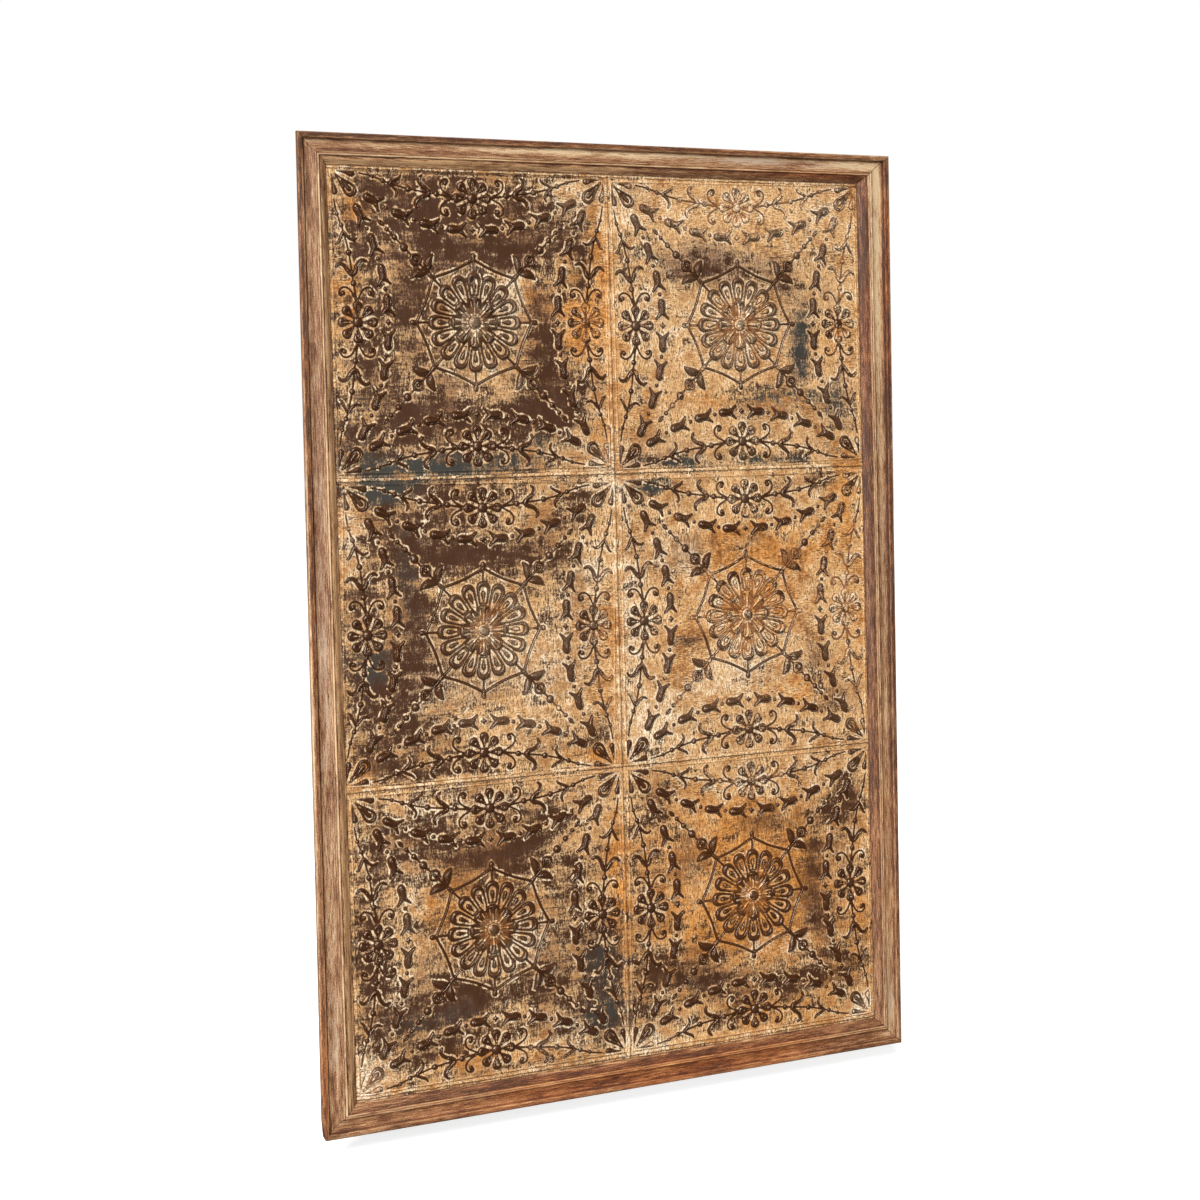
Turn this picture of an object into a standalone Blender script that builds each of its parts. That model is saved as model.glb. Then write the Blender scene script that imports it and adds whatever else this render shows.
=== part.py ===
"""Wall panel of six pressed-iron sheets in a mitred, moulded wooden frame.

Metres, +Z up. The origin is on the wall, at the middle of the flat back of
the top rail, where the panel hangs. +X runs to the viewer's right and the
stamped face looks along -Y. Every sheet carries the same stamp: a rosette in
an eight-pointed web, four garlands of tulips, a daisy and leaves on each side
and a quarter flower in each corner.
"""

import math

import bmesh
import bpy
from mathutils import Vector
from mathutils.geometry import delaunay_2d_cdt

MM = 0.001

# Frame: outer size, and the opening that shows the sheets
PANEL_WIDTH = 1340 * MM
PANEL_HEIGHT = 1945 * MM
OPENING_WIDTH = 1203 * MM
OPENING_HEIGHT = 1824 * MM
OPENING_LEAN = 0.0078          # sideways shift per metre of height: the opening is out of square
FRAME_DEPTH = 26 * MM
MITRE_GAP = 0.25 * MM          # each rail's end stands back this far along the rail
PROFILE_WIDTH = 60 * MM        # width that the rail profile is drawn at
BACK_FLAT = (7 * MM, 52 * MM)  # the flat that meets the wall, across the drawn profile

# Rail profile, from the back's outer edge round the front to the rebate:
# (across from the outer edge, height off the wall), in millimetres
RAIL_PROFILE = (
    (7, 0), (0, 17), (0, 23.5), (3, 26), (9, 26), (11.3, 24.5),                # back bevel, outer lip
    (12, 19.2), (20, 18), (28, 18.6), (34.5, 20.8),                            # wide cove
    (35.2, 23.4), (42.6, 23.4), (43.5, 20.2),                                  # raised fillet
    (48, 19.4), (52, 16.8), (56, 12.6), (60, 10.4),                            # inner ogee
    (60, 8.8), (52, 8.8), (52, 0),                                             # rebate over the sheets
)

# Worn lower left corner: a line across the corner, (across, up) from the outer corner
WORN_CORNER = ((0, 42 * MM), (7.5 * MM, 0))

# Sheets
COLUMNS = 2
ROWS = 3
SHEET_PITCH = 605 * MM
SHEET_FACE = 8.5 * MM          # sheet face above the wall
SHEET_THICKNESS = 2 * MM
SHEET_TUCK = 6.5 * MM          # how far the outer sheets run in under the rails
SHEET_GAP = 0.3 * MM

# Sheets as laid by hand: (column, row), then stamp centre off the grid across and up, and turn
SHEETS = {
    "sheet_top_left": ((0, 0), (1 * MM, 6 * MM), 0.0),
    "sheet_top_right": ((1, 0), (0, 3 * MM), -0.7),
    "sheet_middle_left": ((0, 1), (0, -2 * MM), 1.0),
    "sheet_middle_right": ((1, 1), (2 * MM, -3.5 * MM), -0.1),
    "sheet_bottom_left": ((0, 2), (2 * MM, 0), -0.3),
    "sheet_bottom_right": ((1, 2), (0, 0), 0.1),
}

# Stamp: radii and places from the sheet's centre, and heights of the relief
BOSS_RADIUS = 13 * MM
BOSS_HEIGHT = 7 * MM
INNER_PETALS = 8
INNER_PETAL = (16 * MM, 44 * MM, 51 * MM, 12 * MM)    # root, shoulder, tip, half width
OUTER_PETALS = 16
OUTER_PETAL = (54 * MM, 83 * MM, 98 * MM, 13.5 * MM)
PETAL_HEIGHT = 5.5 * MM
WEB_POINTS = 8
WEB_POINT_RADIUS = 124 * MM
WEB_HOLLOW_RADIUS = 111 * MM   # where each web line hangs closest to the rosette
WEB_HALF_WIDTH = 2.2 * MM
WEB_TIP = 10 * MM              # bead at each web point
WEB_HEIGHT = 3 * MM
SPRIG_HEIGHT = 4.5 * MM
STEM_BEAD = 206.5 * MM
STEM_BEAD_RADIUS = 8 * MM
GARLAND_DEPTH = 182 * MM       # garland's middle from the centre
GARLAND_RADIUS = 430 * MM
TULIP_FIRST = 36 * MM
TULIP_STEP = 58 * MM
TULIPS_EACH_WAY = 4
TULIP_DROOP = math.radians(3.5)
TULIP_HEIGHT = 4.5 * MM
LIP_HEIGHT = 4 * MM
DAISY_PLACE = 245 * MM
DAISY_PETALS = 8
DAISY_RADIUS = 40 * MM
DAISY_TIP_ANGLE = 0.22         # half the angle that a petal's tip spans, in radians
DAISY_CREST = 31 * MM
DAISY_VALLEY = 16 * MM
DAISY_HEIGHT = 6 * MM
LEAF_HALF_WIDTH = 4 * MM
LEAF_HEIGHT = 3.5 * MM
CORNER_HEIGHT = 3.5 * MM

# Finishes
METAL_COLOUR = (0.40, 0.26, 0.15, 1)
METAL_ROUGHNESS = 0.55
METAL_METALLIC = 0.3
WOOD_COLOUR = (0.36, 0.19, 0.10, 1)
WOOD_ROUGHNESS = 0.7

QUARTER = math.pi / 2
MIDDLE_Z = BACK_FLAT[0] / 2 + BACK_FLAT[1] / 2 - PANEL_HEIGHT / 2   # panel's centre below the origin


def clear_scene():
    for item in list(bpy.data.objects):
        bpy.data.objects.remove(item, do_unlink=True)


def material(name, colour, roughness, metallic):
    finish = bpy.data.materials.new(name)
    finish.use_nodes = True
    shader = finish.node_tree.nodes["Principled BSDF"]
    shader.inputs["Base Color"].default_value = colour
    shader.inputs["Roughness"].default_value = roughness
    shader.inputs["Metallic"].default_value = metallic
    return finish


def add_object(name, mesh_builder, finish):
    mesh = bpy.data.meshes.new(name)
    bmesh.ops.recalc_face_normals(mesh_builder, faces=mesh_builder.faces[:])
    mesh_builder.to_mesh(mesh)
    mesh_builder.free()
    mesh.materials.append(finish)
    item = bpy.data.objects.new(name, mesh)
    bpy.context.scene.collection.objects.link(item)
    return item


def on_panel(across, up, off_wall):
    """A point given from the panel's centre, as a world position."""
    return Vector((across, -off_wall, MIDDLE_Z + up))


# Frame -----------------------------------------------------------------------

def corners(width, height, lean):
    """Four corners, clockwise from the top left, as (across, up) from the panel's centre."""
    signs = ((-1, 1), (1, 1), (1, -1), (-1, -1))
    return [Vector((x * width / 2 - lean * y * height / 2, y * height / 2)) for x, y in signs]


def rail_section(outer, inner, along, stand_back):
    """The profile's points on the mitre between an outer corner and the opening's corner."""
    points = []
    for across, off_wall in RAIL_PROFILE:
        spot = outer.lerp(inner, across * MM / PROFILE_WIDTH) + along * stand_back
        points.append(on_panel(spot.x, spot.y, off_wall * MM))
    return points


def wear_corner(shape):
    """Cut the rail back along the worn line across the panel's lower left corner."""
    corner = Vector((-PANEL_WIDTH / 2, -PANEL_HEIGHT / 2))
    high = corner + Vector(WORN_CORNER[0])
    low = corner + Vector(WORN_CORNER[1])
    outward = Vector((low.y - high.y, high.x - low.x)).normalized()
    cut = bmesh.ops.bisect_plane(
        shape, geom=shape.verts[:] + shape.edges[:] + shape.faces[:],
        plane_co=on_panel(high.x, high.y, 0), plane_no=(outward.x, 0, outward.y), clear_outer=True)
    rim = [item for item in cut["geom_cut"] if isinstance(item, bmesh.types.BMEdge)]
    bmesh.ops.contextual_create(shape, geom=rim)


def rail(name, start, end, outer, inner, worn, finish):
    along = (outer[end] - outer[start]).normalized()
    shape = bmesh.new()
    first = [shape.verts.new(p) for p in rail_section(outer[start], inner[start], along, MITRE_GAP)]
    last = [shape.verts.new(p) for p in rail_section(outer[end], inner[end], along, -MITRE_GAP)]
    count = len(first)
    for i in range(count):
        following = (i + 1) % count
        shape.faces.new((first[i], first[following], last[following], last[i]))
    shape.faces.new(first)
    shape.faces.new(last)
    if worn:
        wear_corner(shape)
    return add_object(name, shape, finish)


def build_frame(finish):
    outer = corners(PANEL_WIDTH, PANEL_HEIGHT, 0)
    inner = corners(OPENING_WIDTH, OPENING_HEIGHT, OPENING_LEAN)
    rails = {"frame_top": (0, 1, False), "frame_right": (1, 2, False),
             "frame_bottom": (2, 3, True), "frame_left": (3, 0, True)}
    for name, (start, end, worn) in rails.items():
        rail(name, start, end, outer, inner, worn, finish)


# Stamp -----------------------------------------------------------------------
# A motif is (outline, peaks, ridges): the outline lies in the sheet's face as
# (across, out) points, the peaks inside it are (across, out, height), and the
# ridges are pairs of peaks that a raised line joins.

def changed(motif, change):
    """The motif with each of its points passed through a function of (across, out)."""
    outline, peaks, ridges = motif
    return ([change(*p) for p in outline], [change(*p[:2]) + (p[2],) for p in peaks], ridges)


def mirrored(motif):
    return changed(motif, lambda x, y: (-x, y))


def swapped(motif):
    return changed(motif, lambda x, y: (y, x))


def placed(motif, angle, by=(0, 0)):
    c, s = math.cos(angle), math.sin(angle)
    return changed(motif, lambda x, y: (c * x - s * y + by[0], s * x + c * y + by[1]))


def chain(count):
    return [(i, i + 1) for i in range(count - 1)]


def loop(count):
    return [(i, (i + 1) % count) for i in range(count)]


def ring(radii, height=None):
    """Points round a circle, with the radii taken in turn."""
    points = []
    for i, radius in enumerate(radii):
        angle = 2 * math.pi * i / len(radii)
        point = (radius * math.sin(angle), radius * math.cos(angle))
        points.append(point if height is None else point + (height,))
    return points


def bead(out, radius, height, sides):
    """A small boss on the line that points out from the centre."""
    return placed((ring([radius] * sides), [(0, 0, height)], []), 0, (0, out))


def petal(root, shoulder, tip, half_width):
    """A petal pointing out from the centre, highest across its shoulders."""
    outline = [(0, root), (half_width, shoulder), (0, tip), (-half_width, shoulder)]
    return (outline, [(0, (shoulder + tip) / 2, PETAL_HEIGHT)], [])


def rosette():
    motifs = [(ring([BOSS_RADIUS] * 6), ring([BOSS_RADIUS / 2] * 6, BOSS_HEIGHT), loop(6))]
    for i in range(INNER_PETALS):
        motifs.append(placed(petal(*INNER_PETAL), 2 * math.pi * i / INNER_PETALS))
    for i in range(OUTER_PETALS):
        motifs.append(placed(petal(*OUTER_PETAL), 2 * math.pi * i / OUTER_PETALS))
    return motifs


def web():
    """The eight-pointed web as one ridge: outer edge with its crest, then the inner edge."""
    outer = ring([WEB_POINT_RADIUS + WEB_TIP, WEB_HOLLOW_RADIUS + WEB_HALF_WIDTH] * WEB_POINTS)
    inner = ring([WEB_POINT_RADIUS - WEB_HALF_WIDTH, WEB_HOLLOW_RADIUS - WEB_HALF_WIDTH] * WEB_POINTS)
    crest = ring([WEB_POINT_RADIUS, WEB_HOLLOW_RADIUS] * WEB_POINTS, WEB_HEIGHT)
    return [(outer, crest, loop(len(crest))), (inner, [], [])]


def sprig():
    """Two wing-like leaves, a bud and a bead beyond a diagonal web point, drawn pointing out."""
    wing = ([(4 * MM, 138 * MM), (14 * MM, 161 * MM), (36 * MM, 155 * MM), (20 * MM, 144 * MM)],
            [(19 * MM, 153 * MM, SPRIG_HEIGHT)], [])
    bud = ([(0, 160 * MM), (13 * MM, 173 * MM), (0, 187 * MM), (-13 * MM, 173 * MM)],
           [(0, 174 * MM, SPRIG_HEIGHT)], [])
    return [wing, mirrored(wing), bud, bead(STEM_BEAD, STEM_BEAD_RADIUS, SPRIG_HEIGHT, 4)]


def tulip():
    """A tulip on its own middle: round base towards +across, two flared lips towards -across."""
    outline = [(20 * MM, 7.5 * MM), (-22 * MM, 16 * MM), (-12 * MM, 0), (-22 * MM, -16 * MM),
               (20 * MM, -7.5 * MM)]
    peaks = [(-15 * MM, 9 * MM, LIP_HEIGHT), (11 * MM, 0, TULIP_HEIGHT), (-15 * MM, -9 * MM, LIP_HEIGHT)]
    return (outline, peaks, chain(3))


def garland():
    """Four tulips on the way out from the middle of a side to its corner."""
    motifs = []
    for i in range(TULIPS_EACH_WAY):
        across = TULIP_FIRST + TULIP_STEP * i
        rise = GARLAND_RADIUS - math.sqrt(GARLAND_RADIUS ** 2 - across ** 2)
        slope = math.asin(across / GARLAND_RADIUS) - TULIP_DROOP
        motifs.append(placed(tulip(), slope, (across, GARLAND_DEPTH + rise)))
    return motifs


def daisy():
    outline, peaks = [], [(0, 0, DAISY_HEIGHT)]
    for i in range(DAISY_PETALS):
        middle = 2 * math.pi * i / DAISY_PETALS
        for angle, radius in ((-DAISY_TIP_ANGLE, DAISY_RADIUS), (DAISY_TIP_ANGLE, DAISY_RADIUS),
                              (math.pi / DAISY_PETALS, DAISY_VALLEY)):
            outline.append((radius * math.sin(middle + angle), radius * math.cos(middle + angle)))
        peaks.append((DAISY_CREST * math.sin(middle), DAISY_CREST * math.cos(middle), PETAL_HEIGHT))
    return placed((outline, peaks, []), 0, (0, DAISY_PLACE))


def leaf_pair():
    """Two curling leaves joined at the root, opening away from the daisy, as one ridge."""
    w = LEAF_HALF_WIDTH
    upper_tip, upper_bend, root = (108 * MM, 288 * MM), (112 * MM, 275 * MM), (92 * MM, 254 * MM)
    lower_bend, lower_tip = (118 * MM, 239 * MM), (117 * MM, 224 * MM)
    outline = [upper_tip, (root[0] - w, root[1]), lower_tip, (lower_bend[0] + w, lower_bend[1] + w / 2),
               (root[0] + 2 * w, root[1]), (upper_bend[0] + w, upper_bend[1])]
    crest = [spot + (LEAF_HEIGHT,) for spot in (upper_bend, root, lower_bend)]
    return (outline, crest, chain(3))


def small_leaf_pair():
    """The smaller pair, with its root towards the corner."""
    outline = [(150 * MM, 286 * MM), (178 * MM, 271 * MM), (162 * MM, 243 * MM), (166 * MM, 268 * MM)]
    return (outline, [(172 * MM, 270 * MM, LEAF_HEIGHT)], [])


def corner_flower():
    """Three petals of the flower that four sheets share, drawn on the +across +out corner."""
    long_petal = ([(276 * MM, 276 * MM), (268 * MM, 250 * MM), (246 * MM, 246 * MM), (250 * MM, 268 * MM)],
                  [(256 * MM, 256 * MM, CORNER_HEIGHT)], [])
    side_petal = ([(276 * MM, 287 * MM), (253 * MM, 274 * MM), (245 * MM, 287 * MM)],
                  [(254 * MM, 282 * MM, CORNER_HEIGHT)], [])
    return [long_petal, side_petal, swapped(side_petal)]


def stamp():
    """Every motif of the stamp, round the sheet's centre."""
    motifs = rosette() + web()
    half_side = garland() + [leaf_pair(), small_leaf_pair()]
    whole_side = half_side + [mirrored(m) for m in half_side] + [daisy()]
    for side in range(4):
        motifs += [placed(m, side * QUARTER) for m in whole_side]
        motifs += [placed(m, side * QUARTER + QUARTER / 2) for m in sprig()]
        motifs += [placed(m, side * QUARTER) for m in corner_flower()]
    return motifs


# Sheets ----------------------------------------------------------------------

def sheet_outline(column, row):
    """The sheet's corners, clockwise from the top left: half a gap at seams, tucked in at the frame."""
    rows_up = ROWS / 2 - row
    sides = []
    for edge, last in ((column, 0), (column + 1, COLUMNS)):
        side = (edge - COLUMNS / 2) * SHEET_PITCH
        inward = 1 if edge == column else -1
        if edge == last:
            side = inward * -(OPENING_WIDTH / 2 + SHEET_TUCK)
        else:
            side += inward * SHEET_GAP / 2
        sides.append(side)
    ends = []
    for edge, last, up in ((row, 0, rows_up), (row + 1, ROWS, rows_up - 1)):
        inward = -1 if edge == row else 1
        if edge == last:
            ends.append(inward * -(OPENING_HEIGHT / 2 + SHEET_TUCK))
        else:
            ends.append(up * SHEET_PITCH + inward * SHEET_GAP / 2)
    left, right = sides
    top, bottom = ends
    spots = ((left, top), (right, top), (right, bottom), (left, bottom))
    return [Vector((x - OPENING_LEAN * z, z)) for x, z in spots]


def sheet(name, cell, offset, turn, motifs, finish):
    """A plain-backed sheet whose face is triangulated through the outlines and crests of its stamp."""
    column, row = cell
    flat = [Vector(p) for p in sheet_outline(column, row)]
    heights = [0.0] * len(flat)
    edges = loop(len(flat))
    middle_z = ((ROWS - 1) / 2 - row) * SHEET_PITCH
    middle_x = (column - (COLUMNS - 1) / 2) * SHEET_PITCH - OPENING_LEAN * middle_z
    centre = (middle_x + offset[0], middle_z + offset[1])
    for motif in motifs:
        outline, peaks, ridges = placed(motif, -math.radians(turn), centre)
        first = len(flat)
        flat += [Vector(p) for p in outline]
        heights += [0.0] * len(outline)
        edges += [(first + a, first + b) for a, b in loop(len(outline))]
        first = len(flat)
        flat += [Vector(p[:2]) for p in peaks]
        heights += [p[2] for p in peaks]
        edges += [(first + a, first + b) for a, b in ridges]
    spots, _, faces, sources, _, _ = delaunay_2d_cdt(flat, edges, [], 0, 1e-7)
    shape = bmesh.new()
    front = []
    for spot, source in zip(spots, sources):
        height = heights[source[0]] if source else 0.0
        front.append(shape.verts.new(on_panel(spot.x, spot.y, SHEET_FACE + height)))
    for face in faces:
        shape.faces.new([front[i] for i in face])
    rim = [next(v for v, source in zip(front, sources) if i in source) for i in range(4)]
    back = [shape.verts.new(on_panel(p.x, p.y, SHEET_FACE - SHEET_THICKNESS)) for p in flat[:4]]
    shape.faces.new(back)
    for i in range(4):
        following = (i + 1) % 4
        shape.faces.new((rim[i], rim[following], back[following], back[i]))
    return add_object(name, shape, finish)


def build_sheets(finish):
    motifs = stamp()
    for name, (cell, offset, turn) in SHEETS.items():
        sheet(name, cell, offset, turn, motifs, finish)


clear_scene()
build_frame(material("frame_wood", WOOD_COLOUR, WOOD_ROUGHNESS, 0.0))
build_sheets(material("pressed_iron", METAL_COLOUR, METAL_ROUGHNESS, METAL_METALLIC))
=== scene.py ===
"""Looks of the pressed-iron wall panel: six stamped sheets in a worn wooden frame."""

import math
import random

import bpy
import numpy as np
from bpy.props import FloatProperty, FloatVectorProperty, PointerProperty
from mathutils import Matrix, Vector
from mathutils.geometry import delaunay_2d_cdt


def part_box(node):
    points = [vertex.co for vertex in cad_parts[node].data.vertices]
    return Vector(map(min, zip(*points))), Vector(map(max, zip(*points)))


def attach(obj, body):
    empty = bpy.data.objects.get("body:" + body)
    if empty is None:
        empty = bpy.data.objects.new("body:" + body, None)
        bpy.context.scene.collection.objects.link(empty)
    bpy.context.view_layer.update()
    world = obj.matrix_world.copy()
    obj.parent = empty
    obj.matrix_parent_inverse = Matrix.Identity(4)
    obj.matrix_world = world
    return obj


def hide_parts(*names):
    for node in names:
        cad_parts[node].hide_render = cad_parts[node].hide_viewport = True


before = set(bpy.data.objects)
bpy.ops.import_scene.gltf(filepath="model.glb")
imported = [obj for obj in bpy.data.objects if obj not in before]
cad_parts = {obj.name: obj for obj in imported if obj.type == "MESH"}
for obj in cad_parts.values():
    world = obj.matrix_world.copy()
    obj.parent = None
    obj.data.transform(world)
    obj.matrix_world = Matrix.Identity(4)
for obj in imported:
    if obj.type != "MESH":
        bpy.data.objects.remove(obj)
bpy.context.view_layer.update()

MM = 0.001
ROOT2 = math.sqrt(2)

# Panel, read from the frame
TOP_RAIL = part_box("frame_top")
BOTTOM_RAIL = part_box("frame_bottom")
LEFT_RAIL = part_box("frame_left")
RIGHT_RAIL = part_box("frame_right")
PANEL_TOP, PANEL_BOTTOM = TOP_RAIL[1].z, BOTTOM_RAIL[0].z
MIDDLE_Z = (PANEL_TOP + PANEL_BOTTOM) / 2
PANEL_SIZE = ((RIGHT_RAIL[1].x - LEFT_RAIL[0].x) / MM, (PANEL_TOP - PANEL_BOTTOM) / MM)

# Sheets, as in the frame's solids. Sizes from here on are in millimetres.
COLUMNS, ROWS = 2, 3
PITCH = 605.0
LEAN = 0.0078                    # how far the opening leans left for each millimetre up
OPENING = (1203.0, 1824.0)
TUCK = 6.5                       # how far the outer sheets run in under the rails
SHEET_GAP = 0.02
SHEET_FACE = 8.5                 # a sheet's field, off the wall
SHEET_THICKNESS = 2
# Each sheet's column and row, how far it is laid to the right and up, and its clockwise turn in degrees
SHEETS = {
    "sheet_top_left": ((0, 0), (1.0, 6.0), 0.0),
    "sheet_top_right": ((1, 0), (0.0, 3.0), -0.7),
    "sheet_middle_left": ((0, 1), (0.0, -2.0), 1.0),
    "sheet_middle_right": ((1, 1), (2.0, -3.5), -0.1),
    "sheet_bottom_left": ((0, 2), (2.0, 0.0), -0.3),
    "sheet_bottom_right": ((1, 2), (0.0, 0.0), 0.1),
}

# How finely the stamp is drawn. Rows beside an outline are (distance, room between points).
STEP = 1.95                      # between points along an outline
RAISED_ROWS = ((0.65, 0.55), (1.7, 1.0), (3.2, 1.6), (5.2, 2.3))
FIELD_ROWS = ((1.8, 1.35), (5.4, 3.0))
FIELD_STEP = 9.0
FIELD_ROOM = 0.6 * FIELD_STEP
MIRROR_ROOM = 0.7                # between points on the eighth's mirror lines, near a form's edge
OFF_MIRROR, FIELD_OFF_MIRROR = 0.45, 2.5    # between those lines and the rows or the open field
ROW_CLEAR = 0.85                 # share of its distance that a row keeps from every edge
STAMP_REACH = 322.0              # half the width that the stamp's blank is drawn to

# Relief: a crease's share of the height, its width, and the share that a swelling form starts from
CREASE_DEPTH, CREASE_WIDTH = 0.35, 1.4
SWELL_START, SWELL_RISE = 0.6, 0.4

# Laps, where a sheet's right or lower edge lies over its neighbour
LAP = 6.0
LAP_RISE = 1.3
LAP_FOOT = 1.5                   # width of the slope up from the field
LAP_LIP = 1.2                    # width of the slope down at the edge

# Slow waves of hand-beaten, once-nailed sheet, as (length, height), and where they die out by a side
BUCKLES = ((420, 0.22), (210, 0.14), (120, 0.1), (64, 0.05))
HELD_SIDE = 60
FAR_CORNER = 2000                # more than the panel's reach, so that a run along it starts above nought


# Drawing: closed loops in millimetres ------------------------------------------

def flow(stations, step):
    """A smooth open line through the stations, with points about a step apart and on both ends."""
    spots = np.array(stations, float)
    padded = np.vstack([2 * spots[0] - spots[1], spots, 2 * spots[-1] - spots[-2]])
    t = np.linspace(0, 1, 16, endpoint=False)[:, None]
    pieces = []
    for a, b, c, d in zip(padded, padded[1:], padded[2:], padded[3:]):
        pieces.append(0.5 * (2 * b + (c - a) * t + (2 * a - 5 * b + 4 * c - d) * t ** 2
                             + (3 * b - a - 3 * c + d) * t ** 3))
    line = np.vstack(pieces + [spots[-1:]])
    run = np.concatenate([[0], np.cumsum(np.hypot(*np.diff(line[:, :2], axis=0).T))])
    count = max(2, 2 * round(run[-1] / step / 2) + 1)
    even = np.linspace(0, run[-1], count)
    return np.stack([np.interp(even, run, column) for column in line.T], 1)


def disc(radius, at=(0, 0)):
    count = 4 * max(3, round(2 * math.pi * radius / STEP / 4))
    angle = np.arange(count) * 2 * math.pi / count
    return np.stack([at[0] + radius * np.sin(angle), at[1] + radius * np.cos(angle)], 1)


def lobe(*stations, sharp=False):
    """A loop that is the same on both sides of its axis, through (half width, along) from root to tip."""
    side = list(stations)
    other = [(-width, along) for width, along in side]
    if sharp:
        half = flow(side, STEP)
        line = np.vstack([half, (half * (-1, 1))[-2::-1]])
    else:
        line = flow(side + other[-2::-1], STEP)
    return line[:-1] if side[0][0] == 0 else line


def stroke(*stations):
    """A loop round a line of (across, along, half width), with round ends."""
    line = flow(stations, STEP)
    way = np.gradient(line[:, :2], axis=0)
    way /= np.hypot(*way.T)[:, None]
    side = np.stack([-way[:, 1], way[:, 0]], 1) * line[:, 2:]
    left, right = line[:, :2] + side, line[:, :2] - side

    def cap(spot, start, width):
        count = max(2, round(math.pi * width / STEP))
        turn = start - np.arange(1, count) * math.pi / count
        return spot + width * np.stack([np.cos(turn), np.sin(turn)], 1)

    far = cap(line[-1, :2], math.atan2(*side[-1, ::-1]), line[-1, 2])
    near = cap(line[0, :2], math.atan2(*-side[0, ::-1]), line[0, 2])
    return np.vstack([left, far, right[::-1], near])


class Form:
    """One raised form of the stamp: loops that bound it, its height, and how wide its shoulder rounds."""

    def __init__(self, loops, height, shoulder, folds=(), rubbed=True, swell=None):
        self.loops = loops
        self.height = height
        self.shoulder = shoulder
        self.folds = folds                  # loops of creases sunk into its top
        self.rubbed = rubbed                # whether wear has bared its top
        self.swell = swell                  # centre, near and far: it climbs to its height between them

    def changed(self, change):
        loops, folds = [change(loop) for loop in self.loops], [change(loop) for loop in self.folds]
        swell = self.swell and (change(np.array([self.swell[0]], float))[0], *self.swell[1:])
        return Form(loops, self.height, self.shoulder, folds, self.rubbed, swell)

    def turned(self, degrees, at=(0, 0)):
        c, s = math.cos(math.radians(degrees)), math.sin(math.radians(degrees))
        return self.changed(lambda loop: loop @ np.array([[c, s], [-s, c]]) + at)

    def on_diagonal(self):
        """From (across, out) on the diagonal to (across, out) on the side."""
        return self.changed(lambda loop: (loop[:, 1:] + loop[:, :1] * (-1, 1)) / ROOT2)


def bead(across, out, radius, height):
    return Form([disc(radius, (across, out))], height, radius)


# Stamp: the motifs of one eighth, drawn as (across, out) from the sheet's centre ------

def rosette():
    forms = [Form([disc(12.5)], 8.5, 12.5)]
    slot = flow([(1.5, 18), (3.0, 19.5), (5.4, 26), (8.0, 34), (9.3, 40.5), (8.3, 44.2), (6.0, 44), (4.7, 40),
                 (3.9, 33), (2.6, 26), (1.5, 18)], STEP)[:-1]
    inner = Form([lobe((2.9, 14), (4.9, 21), (8.1, 31), (11.3, 41), (10.7, 46.5), (6, 50), (0, 50.8)),
                  slot, slot * (-1, 1)], 7.2, 5.5, swell=((0, 0), 16, 46))
    forms += [inner.turned(-angle) for angle in (0, 45)]
    rim, swell = ((9.4, 56), (12, 70), (14, 84), (12.4, 92), (7.4, 97), (0, 98.8)), ((0, 0), 50, 92)
    recess = lobe((6.3, 54.5), (6.8, 58), (8.6, 72), (8.9, 80), (6.4, 86), (0, 88.4))
    core = lobe((0, 57), (2.3, 64), (4.1, 72), (3.4, 77.5), (0, 79.6))
    outer = Form([lobe((8.8, 53.3), *rim), recess], 7.0, 5.5, swell=swell)
    drop = Form([core], 4.6, 4.0)
    forms += [outer.turned(-angle) for angle in (0, 45)]
    forms += [drop.turned(-angle) for angle in (0, 22.5, 45)]
    gully = lobe((0.5, 24), (0.9, 32), (1.2, 40), (3.1, 46.5), (5.8, 53), (7.2, 62), (8.6, 72), (8.9, 80),
                 (6.4, 86), (0, 88.4))
    between = lobe((1.5, 20), (2.1, 30), (2.7, 40), (5.0, 45.8), (7.8, 51.5), *rim)
    return forms + [Form([between, gully], 7.0, 5.5, swell=swell).turned(-22.5)]


def web():
    reach, dip = 124, 111.3              # from the middle, on the spokes and halfway between them
    across, out = dip * math.sin(math.pi / 8), dip * math.cos(math.pi / 8)
    corner = reach / ROOT2
    line = Form([stroke((0, reach, 2.3), (across, out, 2.1), (corner, corner, 2.3))], 3.4, 2.2)
    head = Form([lobe((1.5, 119), (2.4, 123.5), (5, 130), (3.8, 135), (0, 137))], 4.2, 5)
    spoke = Form([stroke((0, 97, 1.8), (0, 108, 1.6), (0, 121, 1.9))], 2.8, 1.8)
    knot = Form([lobe((1.8, 120), (4.2, 126), (3.8, 132), (1.6, 137))], 4.0, 4)
    strut = Form([stroke((0, 96, 2.1), (0, 108, 1.9), (0, 124, 2.2))], 3.0, 2.0)
    return [line, head, spoke, knot.on_diagonal(), strut.on_diagonal()]


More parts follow.
